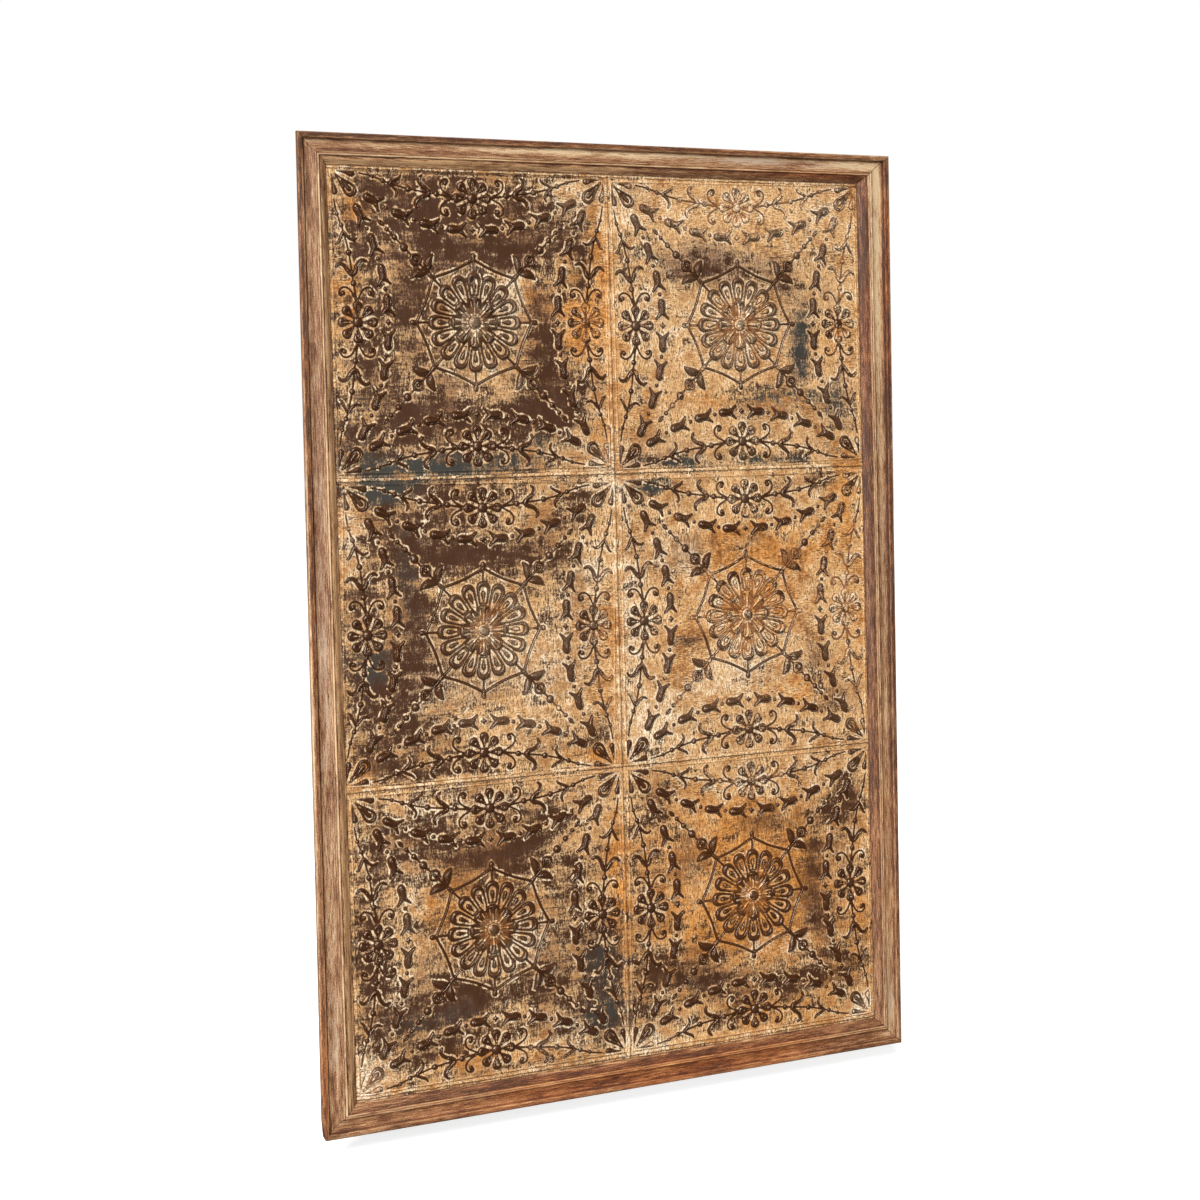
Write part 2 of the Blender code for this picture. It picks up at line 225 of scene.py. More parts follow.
def sprig():
    wing = flow([(2.5, 137), (3.6, 148), (6, 156), (14, 160.5), (25, 160.8), (34.6, 155.5), (26, 150),
                 (16, 142.5), (2.5, 137)], STEP)[:-1]
    fold = stroke((6.3, 146, 0.8), (8.8, 152.5, 1.0), (15, 156.8, 1.1), (23, 157.4, 1.1), (30, 155.2, 0.8))
    bud = lobe((0, 159), (6.5, 164), (12.5, 171), (11, 179), (6, 184), (0, 187))
    cup = lobe((0, 165), (4.5, 168), (8, 173), (6, 178.5), (0, 181.5))
    heart = lobe((0, 168.5), (3.6, 172), (3, 176), (0, 178.5))
    leaf = lobe((0, 264), (3.4, 269), (4, 275), (0, 282), sharp=True)
    vein = lobe((0, 268.5), (1.3, 271), (1.6, 275), (0, 278.5), sharp=True)
    forms = [Form([wing], 7.0, 8.0, [fold]), Form([bud, cup, heart], 6.0, 4.5), Form([leaf], 2.5, 2, [vein]),
             Form([stroke((0, 134, 1.7), (0, 150, 1.5), (0, 161, 1.4))], 2.6, 1.8),
             Form([stroke((0, 186, 1.5), (0, 222, 1.2), (0, 257, 1.2))], 2.2, 1.5),
             bead(0, 206.5, 8, 6.2), bead(0, 234, 5.5, 4.8), bead(0, 256, 4.2, 4.0)]
    return [form.on_diagonal() for form in forms]


def tulip():
    """A tulip along its own axis: flared mouth at the root end, round base at the tip."""
    cup = lobe((0, -12.5), (7.2, -17.5), (13.4, -22.4), (15.8, -20.4), (12.2, -15.5), (8.4, -9), (7.2, -3),
               (8.2, 5), (8.2, 11.5), (5.6, 17.8), (0, 20.4))
    lining = [(4.6, -9.5, 0.9), (4.3, 0, 1.0), (4.5, 7, 1.0), (3.4, 12, 1.0), (0, 14, 1.0)]
    lining += [(-across, along, width) for across, along, width in lining[-2::-1]]
    return Form([cup], 7.6, 8.4, [stroke(*lining)])


def garland():
    """Tulips along a flat arc, with a star and beads between them."""
    arc, foot, first, pace, tilt = 430, 182, 35, 58.3, 3.5
    forms = []
    for i in range(4):
        across = first + pace * i
        rise = arc - math.sqrt(arc ** 2 - across ** 2)
        slope = math.degrees(math.asin(across / arc)) - tilt
        forms.append(tulip().turned(slope - 90, (across, foot + rise)))
    star = lobe((0, 174.8), (2.2, 179), (7.2, 182), (2.2, 185), (0, 189.2), sharp=True)
    forms.append(Form([star], 3.2, 3))
    forms += [bead(64.5, 187, 3.8, 3), bead(123, 200.5, 4, 3), bead(181, 221.5, 3.6, 3)]
    return forms


def daisy():
    middle = (0, 245)
    petal = Form([lobe((1.6, 12), (4.2, 20), (8.2, 28), (9.4, 33.5), (6.4, 38.8), (0, 40.8)),
                  lobe((0, 16.5), (1.2, 21), (1.7, 27), (0, 31.5))], 5.4, 5.5, swell=((0, 0), 12, 36))
    return [bead(*middle, 10, 6.6)] + [petal.turned(45 * i, middle) for i in range(8)]


def scrolls():
    """A scroll on each side of the line between them."""
    between = 246.25
    line = [(39, 246, 1.4), (50, 240.5, 1.3), (59, 236, 1.3), (65, 230, 1.3), (67.5, 223, 1.3),
            (66, 216, 1.3), (60.5, 211.5, 1.2), (54, 210.8, 1.1), (50.5, 214.5, 1.1), (53, 218.5, 1.1)]
    upper = [(across, 2 * between - out, width) for across, out, width in line]
    return [Form([stroke(*line)], 2.8, 1.6), Form([stroke(*upper)], 2.6, 1.6),
            bead(55.5, 219, 4.6, 3.4), bead(56, 273.5, 4.4, 3.2)]


def leaf_pair(upper, root, lower, width, fold):
    """Two curling leaves in one line, with a fold down the middle of each."""
    spots = upper + [root] + lower
    middle = (len(spots) - 1) / 2
    widths = [width * (1 - 0.5 * (abs(i - middle) / middle) ** 3) for i in range(len(spots))]
    body = stroke(*[(x, y, w) for (x, y), w in zip(spots, widths)])
    folds = [stroke(*[(x, y, fold) for x, y in arm]) for arm in (upper[:-1], lower[1:])]
    return Form([body], 5.6, 4.4, folds)


def border():
    first = leaf_pair([(106, 287), (111.5, 282), (111.8, 274.5), (106, 267.5), (97, 261)], (91.5, 254),
                      [(97, 248), (107, 245.5), (116.5, 239.5), (120.5, 232), (117.5, 224.5)], 3.9, 0.8)
    second = leaf_pair([(149.5, 286), (152, 282), (158, 278.5), (166, 275)], (173.5, 270),
                       [(166.5, 263.5), (160.5, 257), (158.5, 250), (162, 242.5)], 2.5, 0.6)
    stem = Form([stroke((38, 246, 1.6), (72, 251, 1.3), (91, 254, 1.3), (134, 260, 1.2), (174, 270, 1.2),
                        (208, 282, 1.1), (236, 287.6, 0.9))], 2.4, 1.5)
    beads = [bead(75, 252, 5.6, 4), bead(134, 260, 5.6, 4),
             bead(186.5, 274, 4.6, 3.4), bead(208, 282, 3.6, 3)]
    out, half = 293.5, 1.8
    edge = stroke((-20, out, half), (150, out, half), (out + half, out, half))
    return scrolls() + [first, second, stem, Form([edge], 1.7, half, rubbed=False)] + beads


def corner_flower():
    rim = lobe((1.2, 403), (4.2, 389), (9.4, 374), (12.8, 362), (11.6, 354), (6.2, 348.4), (0, 346.8))
    recess = lobe((0.6, 394), (3.0, 384), (6.2, 372), (8.4, 363), (7.0, 357), (0, 353.6))
    petal = Form([rim, recess], 6.6, 5.5, swell=((0, 427.8), 26, 76))
    core = Form([lobe((0, 385), (2.6, 374), (4.2, 365), (3.2, 360), (0, 357.6))], 3.8, 3.4)
    side = flow([(281, 290), (266, 286.4), (254, 280.6), (247.6, 281.2), (245, 285.4), (246.4, 290),
                 (256, 290.6), (270, 290.7), (281, 290)], STEP)[:-1]
    return [petal.on_diagonal(), core.on_diagonal(), Form([side[::-1]], 4.8, 5.0)]


def stamp_forms():
    return rosette() + web() + sprig() + garland() + daisy() + border() + corner_flower()


# Pressing: from loops to a mesh --------------------------------------------------

def measure(spots, loops):
    """Distance from each spot to the nearest of the loops, and whether it is inside (even-odd)."""
    distance = np.full(len(spots), 99.0)
    inside = np.zeros(len(spots), bool)
    for loop in loops:
        low, high = loop.min(0) - 9, loop.max(0) + 9
        near = np.flatnonzero(((spots > low) & (spots < high)).all(1))
        if not len(near):
            continue
        p, a = spots[near][:, None], loop[None]
        way = np.roll(loop, -1, 0)[None] - a
        along = np.clip(((p - a) * way).sum(2) / (way ** 2).sum(2), 0, 1)
        gap = np.sqrt((((p - a) - along[..., None] * way) ** 2).sum(2)).min(1)
        distance[near] = np.minimum(distance[near], gap)
        rises = (a[..., 1] > p[..., 1]) != ((a + way)[..., 1] > p[..., 1])
        with np.errstate(divide="ignore", invalid="ignore"):
            cross = a[..., 0] + way[..., 0] * (p[..., 1] - a[..., 1]) / way[..., 1]
        inside[near] ^= (rises & (p[..., 0] < cross)).sum(1) % 2 == 1
    return distance, inside


def survey(spots, forms):
    """Each spot's height, its distance to the relief's edge (below nought on it), and its form's top."""
    height, top = np.zeros(len(spots)), np.zeros(len(spots))
    field = np.full(len(spots), 99.0)
    depth = np.zeros(len(spots))
    for form in forms:
        distance, inside = measure(spots, form.loops)
        crease, sunk = measure(spots, form.folds)
        rounding = np.clip(distance / form.shoulder, 0, 1)
        full = np.where(inside | (distance < 0.02), form.height, 0.0)
        if form.swell:
            centre, near, far = form.swell
            climb = np.clip((np.hypot(*(spots - centre).T) - near) / (far - near), 0, 1)
            full *= SWELL_START + SWELL_RISE * climb
        top = np.maximum(top, full)
        rise = np.where(inside, full * np.sqrt(1 - (1 - rounding) ** 2), 0)
        rise *= 1 - CREASE_DEPTH * np.clip(0.5 + np.where(sunk, crease, -crease) / CREASE_WIDTH, 0, 1)
        height = np.maximum(height, rise)
        if form.rubbed:
            depth = np.maximum(depth, np.where(inside, distance, 0))
            field = np.where(inside, field, np.minimum(field, distance))
    return height, np.where(depth > 0, -depth, field), top


class Points:
    """Points for the triangulation, with a coarse grid of cells to find those near a spot."""

    CELL = 4.0

    def __init__(self):
        self.spots = []
        self.cells = {}

    def cell(self, spot):
        return int(spot[0] // self.CELL), int(spot[1] // self.CELL)

    def add(self, spots):
        for spot in spots:
            self.cells.setdefault(self.cell(spot), []).append(spot)
            self.spots.append(spot)

    def add_where_free(self, spots, room):
        """Add each spot that has no other point within the room."""
        span = int(room // self.CELL) + 1
        for spot in spots:
            i, j = self.cell(spot)
            near = [other for a in range(i - span, i + span + 1) for b in range(j - span, j + span + 1)
                    for other in self.cells.get((a, b), ())]
            if all((x - spot[0]) ** 2 + (y - spot[1]) ** 2 > room * room for x, y in near):
                self.add([spot])


def beside(loop, gap):
    """The loop's points moved sideways by the gap."""
    way = np.roll(loop, -1, 0) - np.roll(loop, 1, 0)
    return loop + gap * np.stack([way[:, 1], -way[:, 0]], 1) / np.maximum(np.hypot(*way.T), 1e-9)[:, None]


def in_eighth(spots, margin):
    """Whether each spot is inside the eighth, at least the margin from its two mirror lines."""
    across, out = spots.T
    return (across > margin) & (out - across > margin * ROOT2) & (out < STAMP_REACH - margin)


def eighth_net(forms):
    """Points and edges that draw one eighth: every outline, rows beside it, and a scatter on the field."""
    points, edges = Points(), []
    loops = [loop for form in forms for loop in [*form.loops, *form.folds] if in_eighth(loop, 0.05).any()]
    # Outlines
    for loop in loops:
        first, count = len(points.spots), len(loop)
        edges += [(first + i, first + (i + 1) % count) for i in range(count)]
        points.add(loop.tolist())

    # The two mirror lines, closely dotted where they cross a form
    for line in (np.array([[0.0, 1.0]]), np.array([[1.0, 1.0]])):
        ticks = np.arange(0, STAMP_REACH, STEP)[:, None] * line
        edge = survey(ticks, forms)[1]
        near = FIELD_ROWS[-1][0] + 1
        busy = (np.abs(edge) < near) & (np.abs(edge) > 0.5)
        first = len(points.spots)
        points.add_where_free(ticks[busy].tolist(), MIRROR_ROOM)
        points.add_where_free(ticks[np.abs(edge) >= near].tolist(), FIELD_ROOM)
        on_line = sorted(range(first, len(points.spots)), key=lambda i: points.spots[i][1])
        corner = len(points.spots)
        points.add((STAMP_REACH * line).tolist())
        edges += list(zip(on_line, [*on_line[1:], corner]))

    # Rows beside the outlines, first on the forms and then on the field
    for side, rows in ((-1, RAISED_ROWS), (1, FIELD_ROWS)):
        for gap, room in rows:
            for loop in loops:
                spots = np.vstack([beside(loop, gap), beside(loop, -gap)])
                spots = spots[in_eighth(spots, OFF_MIRROR)]
                edge = survey(spots, forms)[1]
                points.add_where_free(spots[side * edge > ROW_CLEAR * gap].tolist(), room)

    # Open field
    count = int(STAMP_REACH / FIELD_STEP) + 1
    field = [((i + j % 2 / 2) * FIELD_STEP, j * FIELD_STEP) for i in range(count) for j in range(count)]
    field = np.array(field)
    points.add_where_free(field[in_eighth(field, FIELD_OFF_MIRROR)].tolist(), FIELD_ROOM)
    return points.spots, edges


def pressed_eighth():
    """One eighth of the stamp: its points, its triangles, and what the survey finds at each point."""
    forms = stamp_forms()
    spots, edges = eighth_net(forms)
    found = delaunay_2d_cdt([Vector(spot) for spot in spots], edges, [], 0, 1e-5)
    spots = np.array([tuple(spot) for spot in found[0]])
    faces = np.array([face for face in found[2] if len(face) == 3])
    faces = faces[in_eighth(spots[faces].mean(1), 0)]
    used, faces = np.unique(faces, return_inverse=True)
    spots, faces = spots[used], faces.reshape(-1, 3)
    return spots, faces, survey(spots, forms)


def whole_stamp():
    """The eighth turned and mirrored round to the whole square, welded, as (across, up)."""
    spots, faces, found = pressed_eighth()
    across, out = spots.T
    parts = []
    for turn in range(4):
        c, s = round(math.cos(turn * math.pi / 2)), round(math.sin(turn * math.pi / 2))
        for side in (1, -1):
            x = side * across
            parts.append((np.stack([c * x + s * out, c * out - s * x], 1), faces[:, ::side]))
    spots = np.vstack([part for part, _ in parts])
    faces = np.vstack([part + i * len(across) for i, (_, part) in enumerate(parts)])
    _, first, place = np.unique(np.round(spots, 3) + 0.0, axis=0, return_index=True, return_inverse=True)
    return spots[first], place.ravel()[faces], [np.tile(values, len(parts))[first] for values in found]


# Panel: places, patches and wear -------------------------------------------------

def corners(width, height, lean):
    """Four corners, clockwise from the top left, as (across, up) from the panel's centre."""
    signs = ((-1, 1), (1, 1), (1, -1), (-1, -1))
    return [np.array([x * width / 2 - lean * y * height / 2, y * height / 2]) for x, y in signs]


def on_panel(across, up, off_wall):
    """World place of a point given in millimetres from the panel's centre."""
    return Vector((across * MM, -off_wall * MM, MIDDLE_Z + up * MM))


def places_of(mesh):
    """The mesh's points as (across, up, off the wall) in millimetres from the panel's centre."""
    spots = np.empty(len(mesh.vertices) * 3)
    mesh.vertices.foreach_get("co", spots)
    x, y, z = spots.reshape(-1, 3).T
    return np.stack([x, z - MIDDLE_Z, -y], 1) / MM


def put_places(mesh, places):
    across, up, off_wall = places.T * MM
    mesh.vertices.foreach_set("co", np.stack([across, -off_wall, up + MIDDLE_Z], 1).ravel())


def put_values(mesh, name, values):
    """Keep one number for each point of the mesh under a name that a finish reads."""
    held = mesh.attributes.get(name) or mesh.attributes.new(name, "FLOAT", "POINT")
    held.data.foreach_set("value", np.asarray(values, np.float32))


def patched(places, patches):
    """How strongly soft patches (across, down, half width, half height, amount) cover each place."""
    bare = np.ones(len(places))
    for across, down, wide, high, amount in patches:
        gone = ((places[:, 0] - across) / wide) ** 2 + ((places[:, 1] - down) / high) ** 2
        bare *= 1 - amount * np.exp(-gone)
    return 1 - bare


def ragged(run, length, seed):
    """A smooth wandering line between -1 and 1 that changes about once in each length of the run."""
    chance = random.Random(seed)
    knots = np.array([chance.uniform(-1, 1) for _ in range(int(run.max() / length) + 3)])
    at = run / length
    first = np.floor(at).astype(int)
    part = at - first
    part = part * part * (3 - 2 * part)
    return knots[first] * (1 - part) + knots[first + 1] * part


def nothing_selected():
    for other in bpy.context.selected_objects:
        other.select_set(False)


def only_selected(item):
    nothing_selected()
    item.select_set(True)
    bpy.context.view_layer.objects.active = item


def linked(name, data):
    """A new object of this data, in the scene."""
    item = bpy.data.objects.new(name, data)
    bpy.context.scene.collection.objects.link(item)
    return item


def outward(start, end):
    """Direction out of the panel from a side that runs clockwise."""
    way = np.array([start[1] - end[1], end[0] - start[0]])
    return way / np.hypot(*way)


def cut(at, way, **how):
    """Cut the whole mesh being edited across the way, through a point of the panel."""
    bpy.ops.mesh.select_all(action="SELECT")
    bpy.ops.mesh.bisect(plane_co=on_panel(*at, 0), plane_no=(way[0], 0, way[1]), threshold=1e-6, **how)


def made_solid():
    """Turn all faces of the mesh being edited outward, and leave edit mode."""
    bpy.ops.mesh.select_all(action="SELECT")
    bpy.ops.mesh.normals_make_consistent(inside=False)
    bpy.ops.object.mode_set(mode="OBJECT")


def finished(item, node, finish, angle):
    """Smooth the piece, give it its finish, and let it stand for its node."""
    only_selected(item)
    bpy.ops.object.shade_smooth_by_angle(angle=math.radians(angle))
    item.data.materials.clear()
    item.data.materials.append(finish)
    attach(item, "root")
    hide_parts(node)
    nothing_selected()


# Sheets ----------------------------------------------------------------------------

def sheet_sides(column, row):
    """The sheet's sides on the panel, each as its two ends, clockwise from the top."""
    left, right = (column - COLUMNS / 2) * PITCH, (column + 1 - COLUMNS / 2) * PITCH
    top, bottom = (ROWS / 2 - row) * PITCH, (ROWS / 2 - row - 1) * PITCH
    left = -OPENING[0] / 2 - TUCK if column == 0 else left + SHEET_GAP / 2
    right = OPENING[0] / 2 + TUCK if column == COLUMNS - 1 else right - SHEET_GAP / 2
    top = OPENING[1] / 2 + TUCK if row == 0 else top - SHEET_GAP / 2
    bottom = -OPENING[1] / 2 - TUCK if row == ROWS - 1 else bottom + SHEET_GAP / 2
    ends = [(left, top), (right, top), (right, bottom), (left, bottom)]
    ends = [np.array([x - LEAN * y, y]) for x, y in ends]
    return dict(zip(("top", "right", "bottom", "left"), zip(ends, ends[1:] + ends[:1])))


def from_side(places, start, end):
    """Distance of each place from a side of the sheet."""
    way = (end - start) / np.hypot(*(end - start))
    return np.abs((places[:, 0] - start[0]) * way[1] - (places[:, 1] - start[1]) * way[0])


def buckle(places, seed):
    """How far slow waves in the sheet lift each place."""
    chance = random.Random(seed)
    total = np.zeros(len(places))
    for length, amount in BUCKLES:
        turn, start = chance.uniform(0, math.pi), chance.uniform(0, 6)
        line = places[:, 0] * math.cos(turn) + places[:, 1] * math.sin(turn)
        total += amount * np.sin(line * 2 * math.pi / length + start)
    return total


def laid_stamp(name, cell, offset, turn, stamp):
    """The stamp as an object, at its sheet's place on the panel."""
    spots, faces, (height, edge, top) = stamp
    column, row = cell
    middle = np.array([(column - (COLUMNS - 1) / 2) * PITCH, ((ROWS - 1) / 2 - row) * PITCH])
    middle[0] -= LEAN * middle[1]
    c, s = math.cos(math.radians(turn)), math.sin(math.radians(turn))
    laid = spots @ np.array([[c, -s], [s, c]]) + middle + offset
    mesh = bpy.data.meshes.new(name)
    mesh.from_pydata([on_panel(x, y, SHEET_FACE + z) for (x, y), z in zip(laid, height)], [], faces.tolist())
    put_values(mesh, "edge", np.clip(edge, -6, 9))
    put_values(mesh, "top", top)
    put_values(mesh, "out", np.hypot(*spots.T))
    return linked(name, mesh)


def sheet_mesh(name, cell, offset, turn, stamp):
    """The stamp laid at its place, trimmed to the cell, lapped, buckled and given a plain back."""
    item = laid_stamp(name, cell, offset, turn, stamp)
    column, row = cell
    sides = sheet_sides(column, row)
    laps = [side for side, lapped in (("right", column < COLUMNS - 1), ("bottom", row < ROWS - 1)) if lapped]
    only_selected(item)
    bpy.ops.object.mode_set(mode="EDIT")
    for start, end in sides.values():
        cut(start, outward(start, end), clear_outer=True)
    for side in laps:
        start, way = sides[side][0], outward(*sides[side])
        for inset in (LAP_LIP, LAP - LAP_FOOT, LAP):
            cut(start - inset * way, way)
    bpy.ops.object.mode_set(mode="OBJECT")

    places = places_of(item.data)
    near = np.min([from_side(places, *side) for side in sides.values()], axis=0)
    places[:, 2] += buckle(places, name) * np.clip(near / HELD_SIDE, 0, 1)
    for side in laps:
        away = from_side(places, *sides[side])
        worn = 1 + 0.35 * ragged(places[:, 0] + places[:, 1] + FAR_CORNER, 70, side)
        rise = np.clip((LAP - away) / LAP_FOOT, 0, 1) - 0.5 * np.clip((LAP_LIP - away) / LAP_LIP, 0, 1)
        places[:, 2] = np.maximum(places[:, 2], SHEET_FACE + LAP_RISE * worn * rise * (away < LAP))
    put_places(item.data, places)

    bpy.ops.object.mode_set(mode="EDIT")
    bpy.ops.mesh.select_all(action="SELECT")
    bpy.ops.mesh.region_to_loop()
    bpy.ops.mesh.extrude_region_move(TRANSFORM_OT_translate={"value": (0, SHEET_THICKNESS * MM, 0)})
    bpy.ops.transform.resize(value=(1, 0, 1), center_override=on_panel(0, 0, SHEET_FACE - SHEET_THICKNESS))
    bpy.ops.mesh.edge_face_add()
    made_solid()
    return item


# Where the sheets' paint has worn or changed: soft patches, in hundredths of a sheet, as (across, down,
# half width, half height, amount). Across and down run from the opening's top left, so 150, 50 is the
# middle of the top right sheet. Amounts are in hundredths too.
WEAR = {
    # Paint rubbed off down to the iron
    "worn": (
        (42, 42, 62, 58, 42), (34, 142, 50, 52, 34), (46, 250, 60, 50, 42), (150, 265, 55, 50, 26),
        (45, 8, 30, 7, 85), (36, 15, 22, 10, 80), (57, 25, 20, 6, 60), (79, 19, 10, 8, 45),
        (13, 27, 7, 16, 45), (28, 40, 7, 18, 60), (15, 62, 7, 13, 60), (75, 56, 6, 20, 60),
        (82, 71, 10, 9, 60), (28, 80, 20, 7, 85), (57, 82, 18, 6, 75), (77, 78, 10, 8, 85),
        (36, 95, 34, 5, 75), (8, 92, 7, 6, 50), (90, 30, 5, 10, 40), (134, 31, 15, 6, 66),
        (153, 30, 16, 5, 42), (166, 36, 10, 5, 42), (175, 57, 4, 14, 75), (188, 77, 8, 9, 45),
        (162, 74, 16, 4, 42), (120, 96.5, 20, 3, 60), (166, 96.5, 24, 3, 60), (106, 30, 4, 8, 30),
        (186, 22, 6, 6, 25), (180, 47, 6, 10, 30), (15, 103, 13, 4, 85), (42, 107, 16, 5, 60),
        (50, 125, 24, 6, 85), (24, 119, 12, 8, 70), (9, 136, 5, 10, 50), (25, 145, 7, 22, 65),
        (11, 162, 8, 12, 85), (19, 176, 13, 10, 55), (30, 193, 26, 5, 60), (87, 110, 7, 8, 50),
        (77, 129, 5, 10, 35), (56, 170, 14, 5, 20), (90, 187, 6, 5, 45), (12, 188, 8, 5, 50),
        (116, 105, 12, 3, 72), (162, 110, 6, 4, 45), (180, 105, 7, 3, 70), (129, 159, 6, 2.5, 75),
        (179, 168, 5, 8, 55), (153, 171, 13, 4, 35), (185, 184, 7, 5, 50), (143, 124, 15, 5, 25),
        (122, 142, 6, 10, 25), (57, 225, 15, 6, 80), (30, 217, 15, 7, 55), (72, 214, 10, 6, 55),
        (11, 224, 5, 8, 65), (8, 262, 5, 20, 85), (37, 273, 12, 7, 100), (68, 271, 7, 7, 90),
        (20, 278, 8, 7, 70), (90, 263, 7, 11, 90), (88, 282, 11, 9, 90), (30, 287, 16, 4, 60),
        (80, 242, 4, 12, 35), (112, 214, 8, 10, 50), (190, 218, 6, 8, 85), (182, 224, 10, 5, 70),
        (176, 240, 4, 18, 55), (179, 263, 5, 11, 65), (112, 272, 10, 5, 90), (106, 286, 5, 6, 55),
        (129, 279, 12, 5, 70), (140, 291, 12, 4, 60), (166, 282, 16, 5, 65), (188, 278, 7, 8, 55),
        (158, 224, 8, 4, 35),
    ),
    # Paint left thick, even on the relief
    "covered": (
        (84, 7, 9, 5, 70), (50, 50, 17, 17, 30), (90, 48, 9, 14, 85), (10, 14, 6, 6, 60),
        (55, 70, 16, 5, 55), (96, 95, 8, 6, 60), (66, 45, 5, 12, 60), (98, 22, 3, 20, 50),
        (4, 40, 3, 30, 40), (100, 103, 5, 6, 55), (64, 152, 15, 24, 50), (40, 175, 12, 6, 45),
        (94, 145, 5, 40, 50), (5, 115, 4, 10, 60), (66, 180, 18, 6, 50), (3, 195, 4, 6, 60),
        (36, 140, 5, 12, 25), (150, 150, 45, 40, 60), (50, 252, 20, 15, 50), (24, 245, 8, 16, 40),
        (93, 215, 5, 12, 40), (4, 294, 7, 8, 85), (66, 293, 14, 4, 60), (140, 245, 34, 30, 45),
        (160, 269, 14, 5, 60), (110, 296, 10, 5, 50), (194, 295, 5, 6, 70), (150, 12, 45, 12, 75),
        (150, 210, 30, 8, 40), (145, 52, 40, 34, 45), (192, 30, 10, 40, 50), (192, 140, 10, 50, 50),
        (104, 50, 5, 40, 30), (50, 150, 10, 10, 90), (50, 250, 9, 9, 60), (150, 50, 9, 9, 70),
        (150, 250, 7.5, 7.5, 100), (50, 50, 7, 7, 40), (150, 150, 8, 8, 60),
    ),
    # Warmer paint
    "orange": (
        (90, 48, 10, 14, 100), (10, 13, 5, 5, 90), (8, 40, 5, 10, 60), (96, 27, 4, 12, 60),
        (94, 85, 5, 6, 50), (145, 76, 20, 4, 60), (188, 52, 8, 12, 50), (105, 70, 5, 20, 35),
        (72, 40, 5, 6, 50), (150, 145, 30, 22, 50), (170, 128, 20, 10, 60), (193, 110, 6, 15, 70),
        (145, 122, 15, 6, 50), (175, 178, 10, 8, 50), (195, 160, 5, 20, 40), (5, 193, 6, 5, 60),
        (90, 195, 8, 3, 80), (95, 160, 4, 20, 30), (140, 230, 32, 16, 85), (135, 258, 22, 12, 80),
        (168, 245, 10, 14, 60), (193, 260, 5, 20, 60), (97, 240, 4, 22, 85), (50, 240, 22, 18, 45),
        (42, 292, 18, 4, 50), (160, 293, 25, 4, 50), (35, 245, 10, 15, 40), (155, 260, 40, 42, 50),
    ),
    # Paler paint
    "cream": (
        (98, 96, 7, 6, 60), (50, 40, 12, 10, 60), (84, 7, 10, 5, 60), (66, 36, 5, 6, 60),
        (86, 88, 6, 5, 50), (120, 47, 15, 12, 35), (110, 10, 10, 8, 40), (97, 103, 8, 4, 55),
        (70, 165, 16, 12, 55), (38, 172, 10, 8, 45), (90, 135, 6, 14, 55), (4, 120, 4, 10, 70),
        (30, 112, 5, 5, 40), (150, 171, 20, 6, 80), (112, 185, 12, 10, 85), (104, 150, 5, 30, 60),
        (124, 130, 12, 10, 50), (130, 175, 10, 5, 60), (105, 107, 5, 6, 60), (20, 230, 8, 20, 40),
        (62, 255, 15, 15, 35), (5, 293, 8, 8, 100), (14, 272, 5, 10, 60), (75, 288, 10, 6, 60),
        (162, 268, 16, 5, 80), (108, 294, 12, 6, 70), (194, 295, 6, 6, 80), (150, 212, 30, 5, 40),
        (40, 208, 20, 4, 40), (185, 10, 10, 8, 30),
    ),
    # Bare iron darkened to grey
    "teal": (
        (36, 96, 36, 5, 100), (75, 90, 10, 5, 60), (10, 80, 8, 15, 40), (175, 57, 6, 18, 100),
        (188, 75, 10, 12, 90), (150, 45, 18, 14, 70), (150, 97, 50, 4, 100), (160, 75, 20, 6, 80),
        (15, 103, 15, 5, 100), (10, 160, 8, 14, 60), (25, 130, 10, 20, 35), (116, 105, 14, 4, 100),
        (162, 110, 8, 5, 80), (90, 266, 10, 14, 70), (88, 285, 12, 10, 70), (30, 280, 22, 8, 35),
        (130, 280, 20, 6, 40), (125, 85, 15, 8, 50),
    ),
    # Thin paint with the iron showing through
    "veil": (
        (139, 27, 17, 8, 100), (156, 31, 12, 6, 60), (167, 33, 6, 9, 70), (174, 55, 5, 16, 90),
        (185, 33, 5, 12, 55), (190, 76, 7, 10, 60), (124, 32, 7, 6, 60), (150, 78, 24, 5, 50),
        (112, 6, 14, 3, 50), (122, 92, 14, 5, 50), (62, 42, 16, 14, 35), (45, 70, 20, 10, 40),
        (55, 168, 22, 8, 45), (32, 162, 10, 14, 60), (80, 142, 6, 20, 45), (128, 128, 11, 9, 75),
        (152, 124, 12, 5, 60), (170, 134, 8, 10, 60), (176, 160, 6, 16, 55), (130, 160, 12, 6, 45),
        (188, 182, 9, 7, 50), (45, 228, 22, 7, 50), (30, 262, 10, 14, 45), (72, 252, 8, 16, 40),
        (126, 234, 10, 12, 80), (155, 224, 16, 7, 75), (173, 250, 6, 20, 80), (130, 270, 12, 7, 60),
        (150, 280, 22, 6, 60), (188, 240, 6, 20, 50),
    ),
}

def wear_sheet(item):
    """Give the sheet's points the broad areas of wear and colour that its finish mixes."""
    places = places_of(item.data)
    across = (places[:, 0] + LEAN * places[:, 1]) / PITCH + COLUMNS / 2
    down = ROWS / 2 - places[:, 1] / PITCH
    spots = np.stack([across, down], 1)
    for name, patches in WEAR.items():
        put_values(item.data, name, patched(spots, np.array(patches) / 100))


# Finishes --------------------------------------------------------------------------

